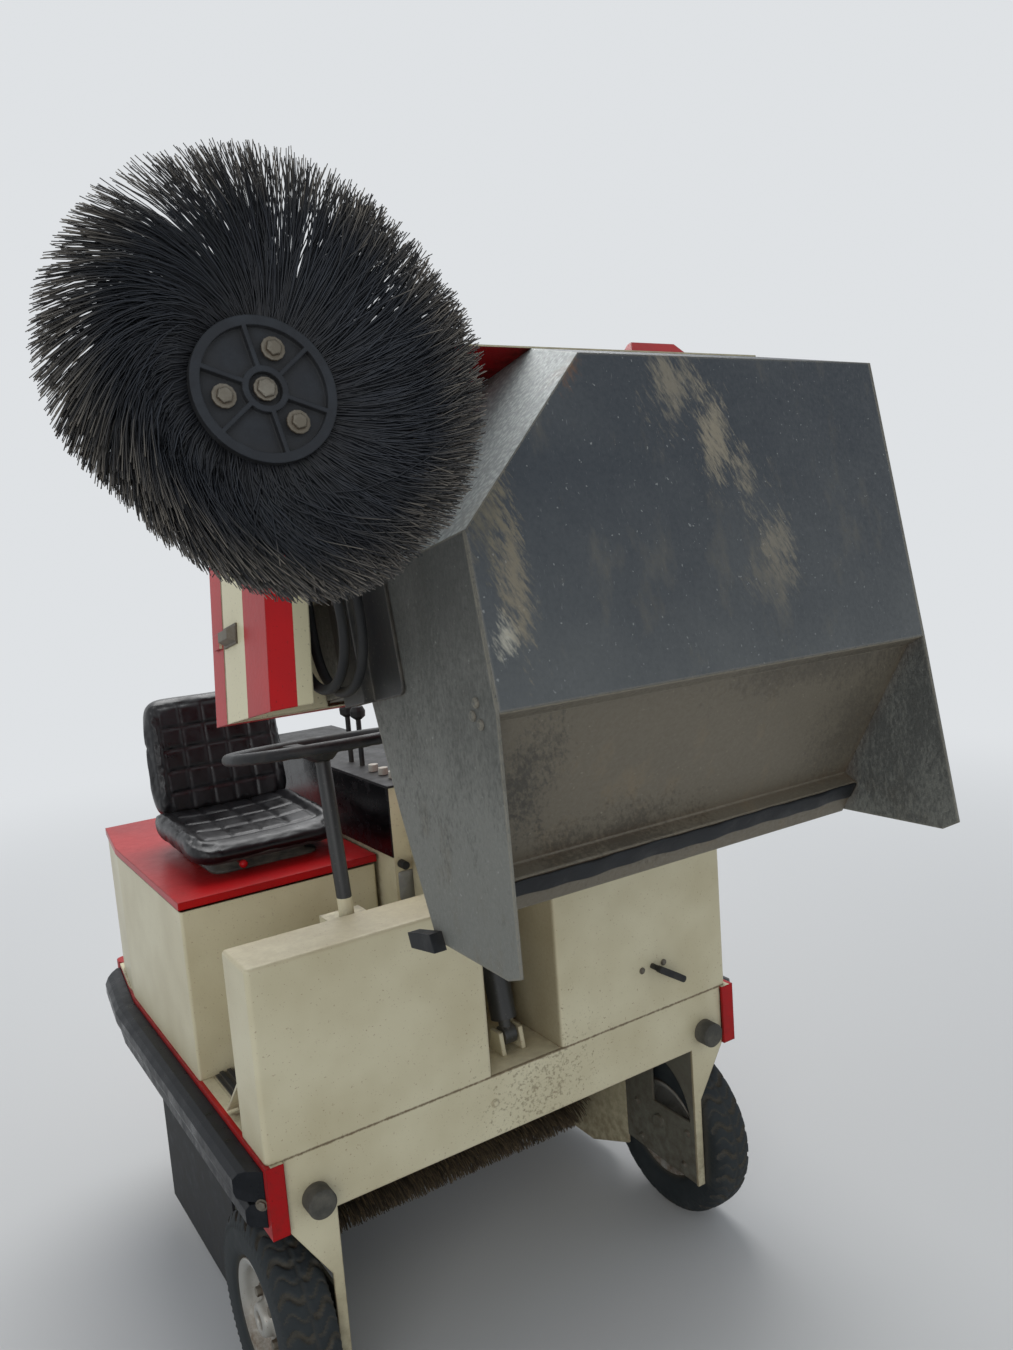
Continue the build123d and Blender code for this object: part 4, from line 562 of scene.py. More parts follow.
def bristle_plastic(name, root, body, tip, tip_from):
    """Extruded polypropylene bristle: blue-black along its length, grey-brown and frayed
    at the tip, each strand a little lighter or darker than the next."""
    material, shader, add = new_material(name)
    along = add("Attribute", attribute_name="along")
    tone = add("Attribute", attribute_name="tone")
    lower = add("MapRange", along.outputs["Fac"], 0, 0.4, To_Max=1.0)
    ends = add("MapRange", along.outputs["Fac"], tip_from, 1.0)
    share = add("Math MULTIPLY", ends, tone.outputs["Fac"])
    colour = layered(add, linear(root), ((lower, body), (share, tip)))
    light = add("MapRange", tone.outputs["Fac"], To_Min=0.65, To_Max=1.5)
    colour = add("HueSaturation", Value=light, Color=colour)
    set_up(shader, Base_Color=colour, Roughness=0.55)
    return material


def wrapped(turn):
    """An angle brought between minus and plus half a turn."""
    return (turn + np.pi) % (2 * np.pi) - np.pi


chance = np.random.default_rng(11)
TUFTS = 38
PER_TUFT = 138
count = TUFTS * PER_TUFT
tuft = np.repeat(np.arange(TUFTS), PER_TUFT)
clump = chance.normal(0, 1, (TUFTS, 20))[tuft, chance.integers(0, 20, count)]
root_turn = 2 * np.pi * (tuft + 0.35 * chance.random(TUFTS)[tuft]) / TUFTS - np.pi
root_turn = wrapped(root_turn + clump * 0.07 + chance.normal(0, 0.03, count))
root_r = chance.uniform(77, 81, count)
# swirl by direction, in degrees: 0 is the machine's left, 90 its rear with the hopper down.
# The tufts of the brush's outer side lie over by a third of a turn, the others stand out.
SWIRL_TURNS = np.radians([-180, -150, -120, -103, -92, -60, -30, 0, 40, 80, 110, 150, 180])
SWIRL = np.radians([46, 56, 58, 46, 26, 2, 5, 12, 11, 8, 24, 40, 46])
# reach of the tips by direction, in millimetres from the shaft
TIP_TURNS = np.radians([-180, -141, -109, -76, -43, -9, 17, 52, 86, 125, 145, 161, 180])
TIP_REACH = np.array([241, 241, 246, 256, 248, 255, 247, 240, 246, 226, 220, 234, 241])
swirl = np.interp(root_turn, SWIRL_TURNS, SWIRL)
messy = np.clip(1 - np.abs(root_turn - 1.6) / 0.8, 0, 1)
tip_turn = root_turn - swirl + clump * 0.09 + chance.normal(0, 0.05, count)
tip_turn += messy * chance.normal(0, 0.3, count)
# old tufts at the upper outer side are thin and stray out of line
stray = np.clip(1 - np.abs(root_turn + 2.1) / 0.5, 0, 1)
tip_turn = wrapped(tip_turn + stray * chance.normal(0, 0.2, count))
reach = np.interp(tip_turn, TIP_TURNS, TIP_REACH) - np.abs(chance.normal(0, 15, count))
swept = wrapped(tip_turn - root_turn)
bend_r = root_r + (reach - root_r) * chance.uniform(0.5, 0.68, count)
bend_turn = root_turn + 0.22 * swept + chance.normal(0, 0.05, count)
root_z = chance.uniform(DISC_Z + 2, DISC_Z + 14, count)
bend_z = chance.uniform(46, 72, count)
tip_z = chance.uniform(9, 34, count) + messy * chance.uniform(0, 16, count)


def around_brush(radius, turn, z):
    """Place at a radius, turn and height about the side brush's shaft, then tipped."""
    return tipped(BRUSH[0] + radius * np.cos(turn), BRUSH[1] + radius * np.sin(turn), z)


side_bristles = strands(
    "side_brush_bristles", around_brush(root_r, root_turn, root_z),
    around_brush(bend_r, bend_turn, bend_z), around_brush(reach, tip_turn, tip_z),
    0.0023, 6, chance.random(count))
side_plastic = bristle_plastic("side_brush_polypropylene", "#101217", "#1c2027", "#6a645b",
                               0.74)
fit(side_bristles, side_plastic, "bristle", "side_brush", "brush_bristles")


def moulded_plastic(name, base, pale, gloss, grain_mm=3.0, dust_colour="#6c6557", dusty=0.35,
                    specular=0.32, metallic=0.0):
    """Moulded plastic or rubber: a fine sparkle of the mould's texture, paler where it is
    rubbed, with dust held in its hollows."""
    material, shader, add = new_material(name)
    place = add("TexCoord")
    spot = place.outputs["Object"]
    grain = add("TexNoise", spot, Scale=1000 / grain_mm, Detail=3.0)
    rubs = add("TexNoise", spot, Scale=1000 / 45, Detail=6.0, Roughness=0.7)
    rubbed = add("MapRange", rubs, 0.45, 0.75)
    corner = add("AmbientOcclusion", Distance=0.02, samples=4)
    hollow = add("MapRange", corner.outputs["AO"], 0.9, 0.4, To_Max=dusty)
    colour = layered(add, linear(base), ((rubbed, pale), (hollow, dust_colour)))
    rough = add("MapRange", rubs, 0.35, 0.7, To_Min=gloss, To_Max=min(gloss + 0.3, 1))
    rounded = add("Bevel", Radius=0.0025, samples=4)
    bump = add("Bump", Strength=0.25, Distance=0.001, Height=grain, Normal=rounded)
    set_up(shader, Base_Color=colour, Roughness=rough, Normal=bump, Metallic=metallic,
           Specular_IOR_Level=specular)
    return material


dress(moulded_plastic("moulded_disc_nylon", "#202328", "#34383d", 0.5, 3.0, "#3f3c37", 0.3),
      "brush_disc")


def square_to(axis):
    """Two unit directions square to an axis and to each other."""
    side = np.cross(axis, [0.3, 0.5, 0.81])
    side /= np.linalg.norm(side)
    return side, np.cross(axis, side)


def hexagon(turn):
    """How far the flats of a six-cornered nut lie in from its corners, as a cosine."""
    return np.cos((turn + np.pi / 6) % (np.pi / 3) - np.pi / 6)


def bolt_heads(name, places, out, size=8.5, height=6, washer=1.45):
    """Hexagon heads on washers, all alike: rings of six and of twelve corners about each
    place, pushed out along out and closed with a chamfered top. Places in row metres."""
    out = np.array(out, float) / np.linalg.norm(out)
    side, other = square_to(out)
    turns = full_turn(12)
    circle = np.cos(turns)[:, None] * side + np.sin(turns)[:, None] * other
    hexed = size / hexagon(turns) * 0.93
    rings = [(size * washer, -1), (size * washer, 1.6), (size * 1.05, 1.8), (hexed, 1.8),
             (hexed, height - 1), (size * 0.85, height), (0.01, height)]
    one = np.stack([circle * np.broadcast_to(r, 12)[:, None] + out * h for r, h in rings])
    points = np.array(places)[:, None, None] + one[None] / 1000
    return new_piece(name, points, bands(len(rings), 12, len(places)).tolist(), False)


zinc_plate = moulded_plastic("zinc_plated_fastener", "#6b655a", "#918d83", 0.45, 2.0,
                             "#4f3d2c", 0.7, metallic=0.6)
SHAFT_DOWN = (0, -math.sin(TIP), -math.cos(TIP))
DISC_FACE = DISC_Z - 6.3
for name, radius, turns, size, washer in (
    ("brush_disc_bolts", 48, np.radians([50, 170, 290]), 8.5, 1.6),
    ("brush_hub_nut", 0, np.zeros(1), 10, 1.35),
):
    fastener = bolt_heads(name, around_brush(radius, turns, DISC_FACE), SHAFT_DOWN, size, 6,
                          washer)
    fit(fastener, zinc_plate, "zinc_steel", "side_brush")
motor_iron = moulded_plastic("cast_motor_iron", "#34322f", "#4d4a45", 0.6, 5.0)
dress(motor_iron, "brush_motor", "engine_block")


# Brush hoses: two rubber hoses with pressed-on steel sleeves bring oil from the plate on the
# hopper's side to the brush motor, held at both ends. They hang in a loop beside the hood.
HOSE_ROUTES = (
    ((-603, -406, 118), (-530, -406, 118), (-470, -389, 166), (-466, -345, 234),
     (-466, -290, 290), (-465, -212, 312), (-466, -110, 310), (-466, -58, 362),
     (-466, -58, 434), (-466, -110, 486), (-465, -222, 482), (-465, -288, 482)),
    ((-603, -406, 148), (-535, -406, 148), (-486, -379, 188), (-486, -338, 251),
     (-486, -285, 305), (-487, -212, 326), (-486, -118, 322), (-486, -66, 374),
     (-487, -66, 447), (-486, -118, 499), (-487, -222, 494), (-487, -288, 494)),
)


def sleeve(name, end, axis):
    """Pressed sleeve and nut: the profile of radius against distance, turned about the axis
    from the hose's end. The nut has six corners, the sleeve is round."""
    side, other = square_to(axis)
    distance = np.array([0, 0, 11, 11.5, 16, 17, 20, 21, 24, 25, 34, 34])[:, None]
    radius = np.array([0.1, 11, 11, 9.6, 9.6, 9.1, 9.1, 9.6, 9.6, 9.1, 9.1, 7.6])[:, None]
    turns = full_turn(24)[None]
    radius = np.where(distance < 11.2, radius * 0.92 / hexagon(turns), radius)
    points = (np.array(end) + distance[..., None] * np.array(axis)
              + radius[..., None] * (np.cos(turns)[..., None] * side
                                     + np.sin(turns)[..., None] * other))
    fit(capped_grid(name, tipped(*np.moveaxis(points, -1, 0))), zinc_plate, "zinc_steel",
        "hopper")


hose_rubber = moulded_plastic("wrapped_hose_rubber", "#17181a", "#2c2c2b", 0.5, 2.0, "#57503f",
                              0.4)
for number, route in enumerate(HOSE_ROUTES):
    line = bpy.data.curves.new("brush_hose_%d" % number, "CURVE")
    line.dimensions = "3D"
    line.resolution_u = 8
    line.bevel_depth = 0.0075
    line.bevel_resolution = 4
    line.use_fill_caps = True
    spline = line.splines.new("NURBS")
    spline.points.add(len(route) - 1)
    places = tipped(*np.array(route).T)
    spline.points.foreach_set("co", np.column_stack([places, np.ones(len(route))]).ravel())
    spline.order_u = 3
    spline.use_endpoint_u = True
    hose = bpy.data.objects.new(line.name, line)
    scene.collection.objects.link(hose)
    fit(hose, hose_rubber, "black_rubber", "hopper", "brush_hoses")
    sleeve("hose_sleeve_motor_%d" % number, route[0], (1, 0, 0))
    sleeve("hose_sleeve_plate_%d" % number, route[-1], (0, 1, 0))


# Wheels: block-tread industrial tyres on dished pressed-steel rims. The tread's two halves
# have staggered wavy grooves, and the sidewall carries short ribs at the shoulder.
WHEEL_R = 205
LUGS = 20
WHEELS = (
    # name, body, centre, outward side
    ("right", "wheel_right", (-513, 153), -1),
    ("left", "wheel_left", (513, 153), 1),
    ("rear", "rear_wheel", (0, 975), 1),
)


def closed_grid(name, points):
    """Mesh over a grid of points that closes on itself both ways, faces outwards."""
    rows, around = points.shape[:2]
    quads = bands(rows + 1, around) % (rows * around)
    piece = new_piece(name, points, quads[:, [0, 3, 2, 1]].tolist())
    face_outwards(piece)
    return piece


def evened(section, times):
    """A closed section whose corners are rounded: each point moves half way to the middle of
    its two neighbours, as often as times says."""
    for _ in range(times):
        section = (section + 0.5 * (np.roll(section, 1, 0) + np.roll(section, -1, 0))) / 2
    return section[:, 0][None], section[:, 1][None]


def turned(profile, samples):
    """Evenly spaced places along a closed profile of (across, radius) corners."""
    corners = np.array(profile + profile[:1], float)
    length = np.concatenate([[0], np.cumsum(np.linalg.norm(np.diff(corners, axis=0), axis=1))])
    s = np.linspace(0, length[-1], samples, endpoint=False)
    return np.stack([np.interp(s, length, corners[:, k]) for k in (0, 1)], -1)


def tyre_surface(name, centre, steps=480, samples=84):
    """Tyre: a closed profile turned about the axle. The tread sinks by 8 mm in wavy grooves,
    and the shoulder rises by 2 mm in ribs, as smooth steps of the angle."""
    section = turned([(-43, 119), (-50, 128), (-52, 150), (-51, 172), (-47, 190), (-38, 200),
                      (-24, 203.5), (0, 205), (24, 203.5), (38, 200), (47, 190), (51, 172),
                      (52, 150), (50, 128), (43, 119), (34, 117), (34, 104.5), (-34, 104.5),
                      (-34, 117)], samples)
    aside, radius = evened(section, 2)
    turn = full_turn(steps)[:, None]
    pitch = 2 * np.pi / LUGS
    start = np.radians(np.where(aside > 0, 4.5, 13.5)) + 0.05 * np.sin(np.abs(aside) / 7)
    off = np.abs((turn - start + pitch / 2) % pitch - pitch / 2) * radius
    half = np.abs((turn - start) % pitch - pitch / 2) * radius
    tread = np.clip((radius - 186) / 6, 0, 1) * np.clip((np.abs(aside) - 3) / 2, 0, 1)
    groove = np.clip((6.5 - off) / 2.2, 0, 1) * 9 + np.clip((3.2 - half) / 2, 0, 1) * 4
    middle = np.clip((2.5 - np.abs(aside)) / 1.5, 0, 1) * 3 * (radius > 190)
    rib_turn = np.clip(np.sin(turn * LUGS * 4) * 2, 0, 1)
    rib = rib_turn * np.clip(1 - np.abs(radius - 178) / 9, 0, 1) * 1.6
    r = radius - tread * groove - middle
    x = aside + np.sign(aside) * rib * (np.abs(aside) > 40)
    x = np.clip(x, -52, 52)
    points = row(centre[0] + x, centre[1] + r * np.cos(turn), WHEEL_R + r * np.sin(turn))
    return closed_grid(name, points)


def rim_surface(name, centre, side, steps=96):
    """Rim: a closed profile turned about the axle, from the rolled lip over the dish to the
    hub disc, mirrored to the wheel's outward side."""
    section = turned([(44, 114.5), (40, 116), (36, 112), (35, 103.3), (-35, 103.3),
                      (-36, 112), (-40, 116), (-44, 114.5), (-43, 108), (-36, 98), (2, 93),
                      (5, 40), (-43, 34), (-44, 17.2), (38, 17.2), (44, 17.2), (45, 24),
                      (42, 31), (24, 35), (21, 62), (13, 69), (12, 82), (22, 93), (37, 97),
                      (43, 107)], 150)
    aside, radius = evened(section, 1)
    turn = side * full_turn(steps)[:, None]
    points = row(centre[0] + side * aside, centre[1] + radius * np.cos(turn),
                 WHEEL_R + radius * np.sin(turn))
    return closed_grid(name, points)


tyre_rubber = moulded_plastic("tyre_rubber_compound", "#23282a", "#35393a", 0.62, 2.5,
                              "#6f6656", 0.6)
rim_paint = worn_paint("silver_rim_paint", "#b3b2ac", "#a09d94", "#6e5a44", "#5f3d24",
                       gloss=0.36, splash=0.2, chips=0.6, metallic=0.35)
nut_turns = np.radians([45, 135, 225, 315])
for name, body, centre, side in WHEELS:
    fit(tyre_surface("tyre_" + name + "_tread", centre), tyre_rubber, "tyre", body,
        "tyre_" + name)
    fit(rim_surface("rim_" + name + "_pressing", centre, side), rim_paint, "rim_steel", body,
        "rim_" + name)
    nuts = row(centre[0] + side * 22, centre[1] + 49 * np.cos(nut_turns),
               WHEEL_R + 49 * np.sin(nut_turns))
    fit(bolt_heads("rim_" + name + "_nuts", nuts, (side, 0, 0), 9, 12), zinc_plate,
        "zinc_steel", body)


# Roller brush: tufts of brown-tipped polypropylene in rows of a shallow chevron along a steel
# tube, worn to one length. It turns against the travel and throws the dirt up the ramp.
ROLLER = (475, 271)
ROWS = 24
TUFTS_A_ROW = 60
A_TUFT = 7
count = ROWS * TUFTS_A_ROW * A_TUFT
tuft = np.repeat(np.arange(ROWS * TUFTS_A_ROW), A_TUFT)
tuft_x = np.linspace(-368, 368, TUFTS_A_ROW)[tuft % TUFTS_A_ROW]
tuft_turn = 2 * np.pi * (tuft // TUFTS_A_ROW) / ROWS + 0.3 * np.abs(tuft_x) / 375
root_x = tuft_x + chance.normal(0, 1.5, count)
tip_x = np.clip(tuft_x + chance.normal(0, 5, count), -373, 373)
root_turn = tuft_turn + chance.normal(0, 0.03, count)
tip_turn = tuft_turn - 0.05 + chance.normal(0, 0.06, count)
tip_r = chance.uniform(154, 164, count)


def around_roller(x, radius, turn):
    """Place at a radius and turn about the roller's shaft, x along it."""
    return row(x, ROLLER[0] + radius * np.cos(turn), ROLLER[1] + radius * np.sin(turn))


roller_strands = strands(
    "roller_tufts", around_roller(root_x, 59, root_turn),
    around_roller((root_x + tip_x) / 2, 112, root_turn * 0.6 + tip_turn * 0.4),
    around_roller(tip_x, tip_r, tip_turn), 0.0042, 2, chance.random(count))
roller_plastic = bristle_plastic("roller_polypropylene", "#2c2822", "#4a4135", "#75644c", 0.5)
fit(roller_strands, roller_plastic, "bristle", "roller", "roller_bristles")


# Seat: black vinyl heat-sealed over foam. The cushion and the back each carry raised square
# pads inside a plain rolled border, and sit on a low folded frame on the red lid.
LID_TOP = 979
SEAT_X = -324
CUSHION_Y = 630
CUSHION_HALF = (178, 188)
CUSHION_LOW = LID_TOP + 38
CUSHION_HIGH = 1046
BACK_X = -314
BACK_HALF = 164
BACK_FOOT = 1038
BACK_RISE = 294
BACK_Y = 812
BACK_LEAN = 54
BACK_THICK = 44


def superellipse(turn, power):
    """Point at a turn on the curve |x|^p + |y|^p = 1."""
    c, s = np.cos(turn), np.sin(turn)
    scale = (np.abs(c) ** power + np.abs(s) ** power) ** (-1 / power)
    return c * scale, s * scale


def pillow(name, place, half, rows=72, around=160):
    """Closed pad: rings of a superellipse outline that grow from the underside's middle to
    the border and shrink again to the top's middle. place maps the pad's own coordinates,
    each from -1 to 1 and the top facing +w, to row metres; half gives how the edge rolls."""
    v = np.linspace(0, 1, rows)[:, None]
    turn = full_turn(around)[None]
    size = np.clip(np.minimum(v, 1 - v) / 0.42, 0, 1) ** 0.8
    size = np.where((v > 0.42) & (v < 0.58), 1, size)
    roll = np.clip((v - 0.42) / 0.16, 0, 1)
    w = -np.cos(roll * np.pi)
    bulge = 1 - half * (1 - np.sin(roll * np.pi))
    x, y = superellipse(turn, 7)
    return capped_grid(name, place(x * size * bulge, y * size * bulge, w))


def pads(x, y, columns, rows, reach_x, reach_y):
    """Height of the raised pads: one inside each cell of the field, falling to nothing in the
    sewn grooves between cells and outside the field."""
    u = (x / reach_x + 1) / 2 * columns
    v = (y / reach_y + 1) / 2 * rows
    inside = (np.abs(x) < reach_x) & (np.abs(y) < reach_y)
    edge = np.minimum(0.5 - np.abs(u % 1 - 0.5), 0.5 - np.abs(v % 1 - 0.5))
    border = np.maximum(np.abs(x) / reach_x, np.abs(y) / reach_y)
    rise = np.clip(edge / 0.11, 0, 1)
    return np.where(inside, rise * rise * (3 - 2 * rise), np.clip((border - 1.0) * 14, 0, 1.7))


def cushion_place(x, y, w):
    """Cushion in row metres: the top dips in the middle and rolls down at the front."""
    top = np.clip((w + 1) / 2, 0, 1)
    across = SEAT_X + CUSHION_HALF[0] * x * (1 - 0.05 * (1 - top))
    along = CUSHION_Y + CUSHION_HALF[1] * y + 18 * (1 - top) * (y < 0)
    crown = CUSHION_HIGH + 20 * np.abs(x) ** 4 - 20 * np.clip(-y - 0.35, 0, 1) ** 2 + 8 * y
    return row(across, along, CUSHION_LOW + (crown - CUSHION_LOW) * top)


def back_place(x, y, w):
    """Back in row metres: y runs up the back, and w towards the driver."""
    front = np.clip((w + 1) / 2, 0, 1)
    rise = (y + 1) / 2
    across = BACK_X + BACK_HALF * (1 - 0.07 * np.clip(rise - 0.5, 0, 1)) * x
    middle = BACK_Y + BACK_LEAN * rise
    wing = 20 * np.abs(x) ** 3
    along = middle + BACK_THICK / 2 - (BACK_THICK + wing) * front
    return row(across, along, BACK_FOOT + BACK_RISE * rise)


def points_of(mesh):
    """The places of a mesh's points, one in each row."""
    points = np.empty((len(mesh.vertices), 3))
    mesh.vertices.foreach_get("co", points.ravel())
    return points


def stuffed(cover, cap):
    """Foam pushes the sewn cover out: the cover is remeshed at 5 mm, then Cloth steps 1 to 20
    with a pressure of 4 and no gravity, and no point moves further than the cap, in metres."""
    remesh = cover.modifiers.new("even_cover", "REMESH")
    remesh.mode = "VOXEL"
    remesh.voxel_size = 0.005
    cover.data = bpy.data.meshes.new_from_object(
        cover.evaluated_get(bpy.context.evaluated_depsgraph_get()))
    cover.modifiers.clear()
    before = points_of(cover.data)
    cloth = cover.modifiers.new("foam_pressure", "CLOTH")
    cloth.settings.use_pressure = True
    cloth.settings.uniform_pressure_force = 4
    cloth.settings.effector_weights.gravity = 0
    cloth.settings.quality = 4
    for frame_number in range(1, 21):
        scene.frame_set(frame_number)
    swollen = cover.evaluated_get(bpy.context.evaluated_depsgraph_get()).data
    move = points_of(swollen) - before
    cover.modifiers.clear()
    length = np.linalg.norm(move, axis=1, keepdims=True)
    move *= np.minimum(1, cap / np.maximum(length, 1e-9))
    cover.data.vertices.foreach_set("co", (before + move).ravel())
    scene.frame_set(1)


def emboss(cover, heights, out):
    """Pads pressed into the finished cover: each point that faces the side called out moves
    along it by the height, in millimetres, of the pads at its own place."""
    mesh = cover.data
    points = points_of(mesh)
    normals = np.empty_like(points)
    mesh.vertex_normals.foreach_get("vector", normals.ravel())
    facing = np.clip((normals @ np.array(out) - 0.5) / 0.3, 0, 1)
    drawn = (points - DRAWN_TO_ROW) * 1000
    points += (heights(drawn) * facing / 1000)[:, None] * np.array(out)
    mesh.vertices.foreach_set("co", points.ravel())
    mesh.shade_smooth()
    finish = cover.modifiers.new("smooth_cover", "SUBSURF")
    finish.levels = finish.render_levels = 1


def cushion_pads(drawn):
    """Pads of the cushion: four by four cells behind the front roll, 4 mm high."""
    x = (drawn[:, 0] - SEAT_X) / CUSHION_HALF[0]
    y = (drawn[:, 1] - CUSHION_Y) / CUSHION_HALF[1]
    return pads(x, y - 0.14, 4, 4, 0.72, 0.72) * 4


def back_pads(drawn):
    """Pads of the back: five by five cells inside the border, 3.5 mm high."""
    x = (drawn[:, 0] - BACK_X) / BACK_HALF
    y = (drawn[:, 2] - BACK_FOOT) / BACK_RISE * 2 - 1
    return pads(x, y, 5, 5, 0.8, 0.85) * 3.5


# PVC-coated fabric: black, with a leather-like grain of 1.2 mm drawn at 3 mm to show, shiny
# where it is rubbed and greyer with dust in the seams
vinyl = moulded_plastic("black_seat_vinyl", "#0c0c0f", "#141418", 0.27, 3.0, "#2e2c29", 0.25,
                        specular=0.42)
set_up(vinyl.node_tree.nodes["Bump"], Strength=0.12)
for name, place, node, heights, out in (
    ("cushion_cover", cushion_place, "seat_cushion", cushion_pads, (0, 0, 1)),
    ("back_cover", back_place, "seat_back", back_pads, (0, -1, 0)),
):
    cover = pillow(name, place, 0.05)
    stuffed(cover, 0.007)
    emboss(cover, heights, out)
    cover.data.materials.clear()
    fit(cover, vinyl, "black_vinyl", "seat", node)
# folded frame between the lid and the cushion: stacked outlines of (half x, half y, z), and
# a red knob on the sliding lever at its front
frame_levels = np.array([(0.1, 0.1, LID_TOP), (122, 128, LID_TOP), (122, 128, 985),
                         (104, 112, 987), (104, 112, 1004), (146, 152, 1008),
                         (146, 152, 1019), (0.1, 0.1, 1019)])
frame_x, frame_y = superellipse(full_turn(64)[None], 10)
FRAME_Y = 626
seat_frame = capped_grid("seat_slide_frame", row(
    SEAT_X + frame_levels[:, :1] * frame_x, FRAME_Y + frame_levels[:, 1:2] * frame_y,
    frame_levels[:, 2:]))
knob_profile = np.array([(0.1, -9), (5, -8), (8.5, -4), (9, 0), (8.5, 4), (5, 8), (3.6, 10),
                         (3.6, 40), (0.1, 40)])
knob_turn = full_turn(20)[None]
KNOB = (-392, 462, 1002)
slide_knob = capped_grid("seat_slide_knob", row(
    KNOB[0] + knob_profile[:, :1] * np.cos(knob_turn), KNOB[1] + knob_profile[:, 1:],
    KNOB[2] + knob_profile[:, :1] * np.sin(knob_turn)))
fit(seat_frame, black_paint, "black_paint", "seat")
fit(slide_knob, red_paint, "red_paint", "seat")


# Steering wheel: black plastic moulded over a steel ring, with three spokes that rise from a
# dished hub on the lean column.
COLUMN_FOOT = row(-296, 156, 945)
COLUMN_LEAN = math.radians(8.9)
UP = np.array([0, math.sin(COLUMN_LEAN), math.cos(COLUMN_LEAN)])
FORE = np.array([0, math.cos(COLUMN_LEAN), -math.sin(COLUMN_LEAN)])
SIDE = np.array([1.0, 0, 0])
HUB = COLUMN_FOOT + UP * 0.308


def on_wheel(radius, turn, height):
    """Place at a radius, turn and height about the steering column, sizes in millimetres."""
    radius, turn, height = np.broadcast_arrays(radius, turn, height)
    return (HUB + (radius * np.cos(turn))[..., None] / 1000 * SIDE
            + (radius * np.sin(turn))[..., None] / 1000 * FORE
            + height[..., None] / 1000 * UP)


# rim: a circle of 11.5 mm, dented underneath by finger grips, turned at a radius of 176 mm
turn = full_turn(144)[:, None]
around = full_turn(16)[None]
tube = 11.5 - 1.1 * np.clip(-np.sin(around), 0, 1) * (0.5 + 0.5 * np.cos(36 * turn))
rim_ring = closed_grid("wheel_rim_grip", on_wheel(
    176 + tube * np.cos(around), -turn, 29 + tube * np.sin(around)))
# hub: a profile turned about the column, and spokes: flat bars that rise and narrow
hub_profile = np.array([(0.1, -2), (20, -2), (26, 3), (38, 16), (38, 24), (30, 30), (0.1, 31)])
hub = capped_grid("wheel_hub", on_wheel(hub_profile[:, :1], full_turn(48)[None],
                                        hub_profile[:, 1:]))
spoke_t = np.linspace(0, 1, 14)[:, None]
section = np.array([(-1, -1), (1, -1), (1.15, 0), (1, 1), (-1, 1), (-1.15, 0)])
parts = [rim_ring, hub]
for number, spoke in enumerate(np.radians([90, 210, 330])):
    reach = 28 + (172 - 28) * spoke_t
    width = 17 - 5 * np.sin(np.pi * spoke_t)
    height = 16 + 13 * spoke_t ** 0.8
    off = section[None, :, 0] * width
    radius = np.hypot(reach, off)
    angle = spoke + np.arctan2(off, reach)
    parts.append(capped_grid("wheel_spoke_%d" % number, on_wheel(
        radius, angle, height + section[None, :, 1] * 4.5)))
wheel_plastic = moulded_plastic("moulded_wheel_plastic", "#17181a", "#3b3935", 0.4, 2.0,
                                "#5a554b", 0.4)
for part in parts:
    fit(part, wheel_plastic, "black_plastic", "steering_wheel", "steering_wheel")


# Console: gloss black side panel, dark instrument top with worn metal knobs, lever knobs,
# pedals and the lid's catch in moulded black plastic.
dress(moulded_plastic("gloss_black_side_panel", "#08080a", "#101013", 0.1, 2.0, "#3a3630",
                      0.4), "console_side")
dress(wheel_plastic, "control_levers", "controls", "handles")
panel_top = moulded_plastic("instrument_panel_face", "#1c1c1e", "#2e2d2c", 0.45, 3.0,
                            "#5a554b", 0.5)
dress(panel_top, "instrument_panel")
PANEL_FACE = 1.1462


def metal_knobs(add, place):
    """What stands up from the panel's face is worn metal."""
    height = add("SeparateXYZ", place.outputs["Object"])
    return add("Math GREATER_THAN", height.outputs["Z"], PANEL_FACE)


overpaint(panel_top, metal_knobs, "#b9b4a8")


# Rubber: extruded side bumpers, skirts that hold the dust in, the lip on the hopper's ramp,
# the buffers on the beam and the ribbed mat, all black, worn pale and scuffed where hit.
dress(moulded_plastic("worn_bumper_rubber", "#121519", "#202226", 0.24, 4.0, "#3e3c38", 0.15,
                      specular=0.16), "side_bumpers")
dress(moulded_plastic("sheet_rubber", "#222426", "#3c3b39", 0.6, 4.0, "#6f6656", 0.6),
      "side_skirts", "floor_mat")
dress(moulded_plastic("weathered_buffer_rubber", "#45443f", "#66635a", 0.7, 4.0, "#7a7263",
                      0.5), "buffers")
lip_rubber = moulded_plastic("ramp_lip_rubber", "#15171a", "#2b2e31", 0.5, 4.0, "#4a453d", 0.3)
dress(lip_rubber, "rubber_lip")
lip_strip.data.materials.append(lip_rubber)
dress(moulded_plastic("hard_chrome_rod", "#b9babb", "#c9cacb", 0.15, 1.0, "#4a463e", 0.3,
                      metallic=1.0), "lift_rod")
dress(zinc_plate, "hood_latch")
dress(motor_iron, "roller_core")


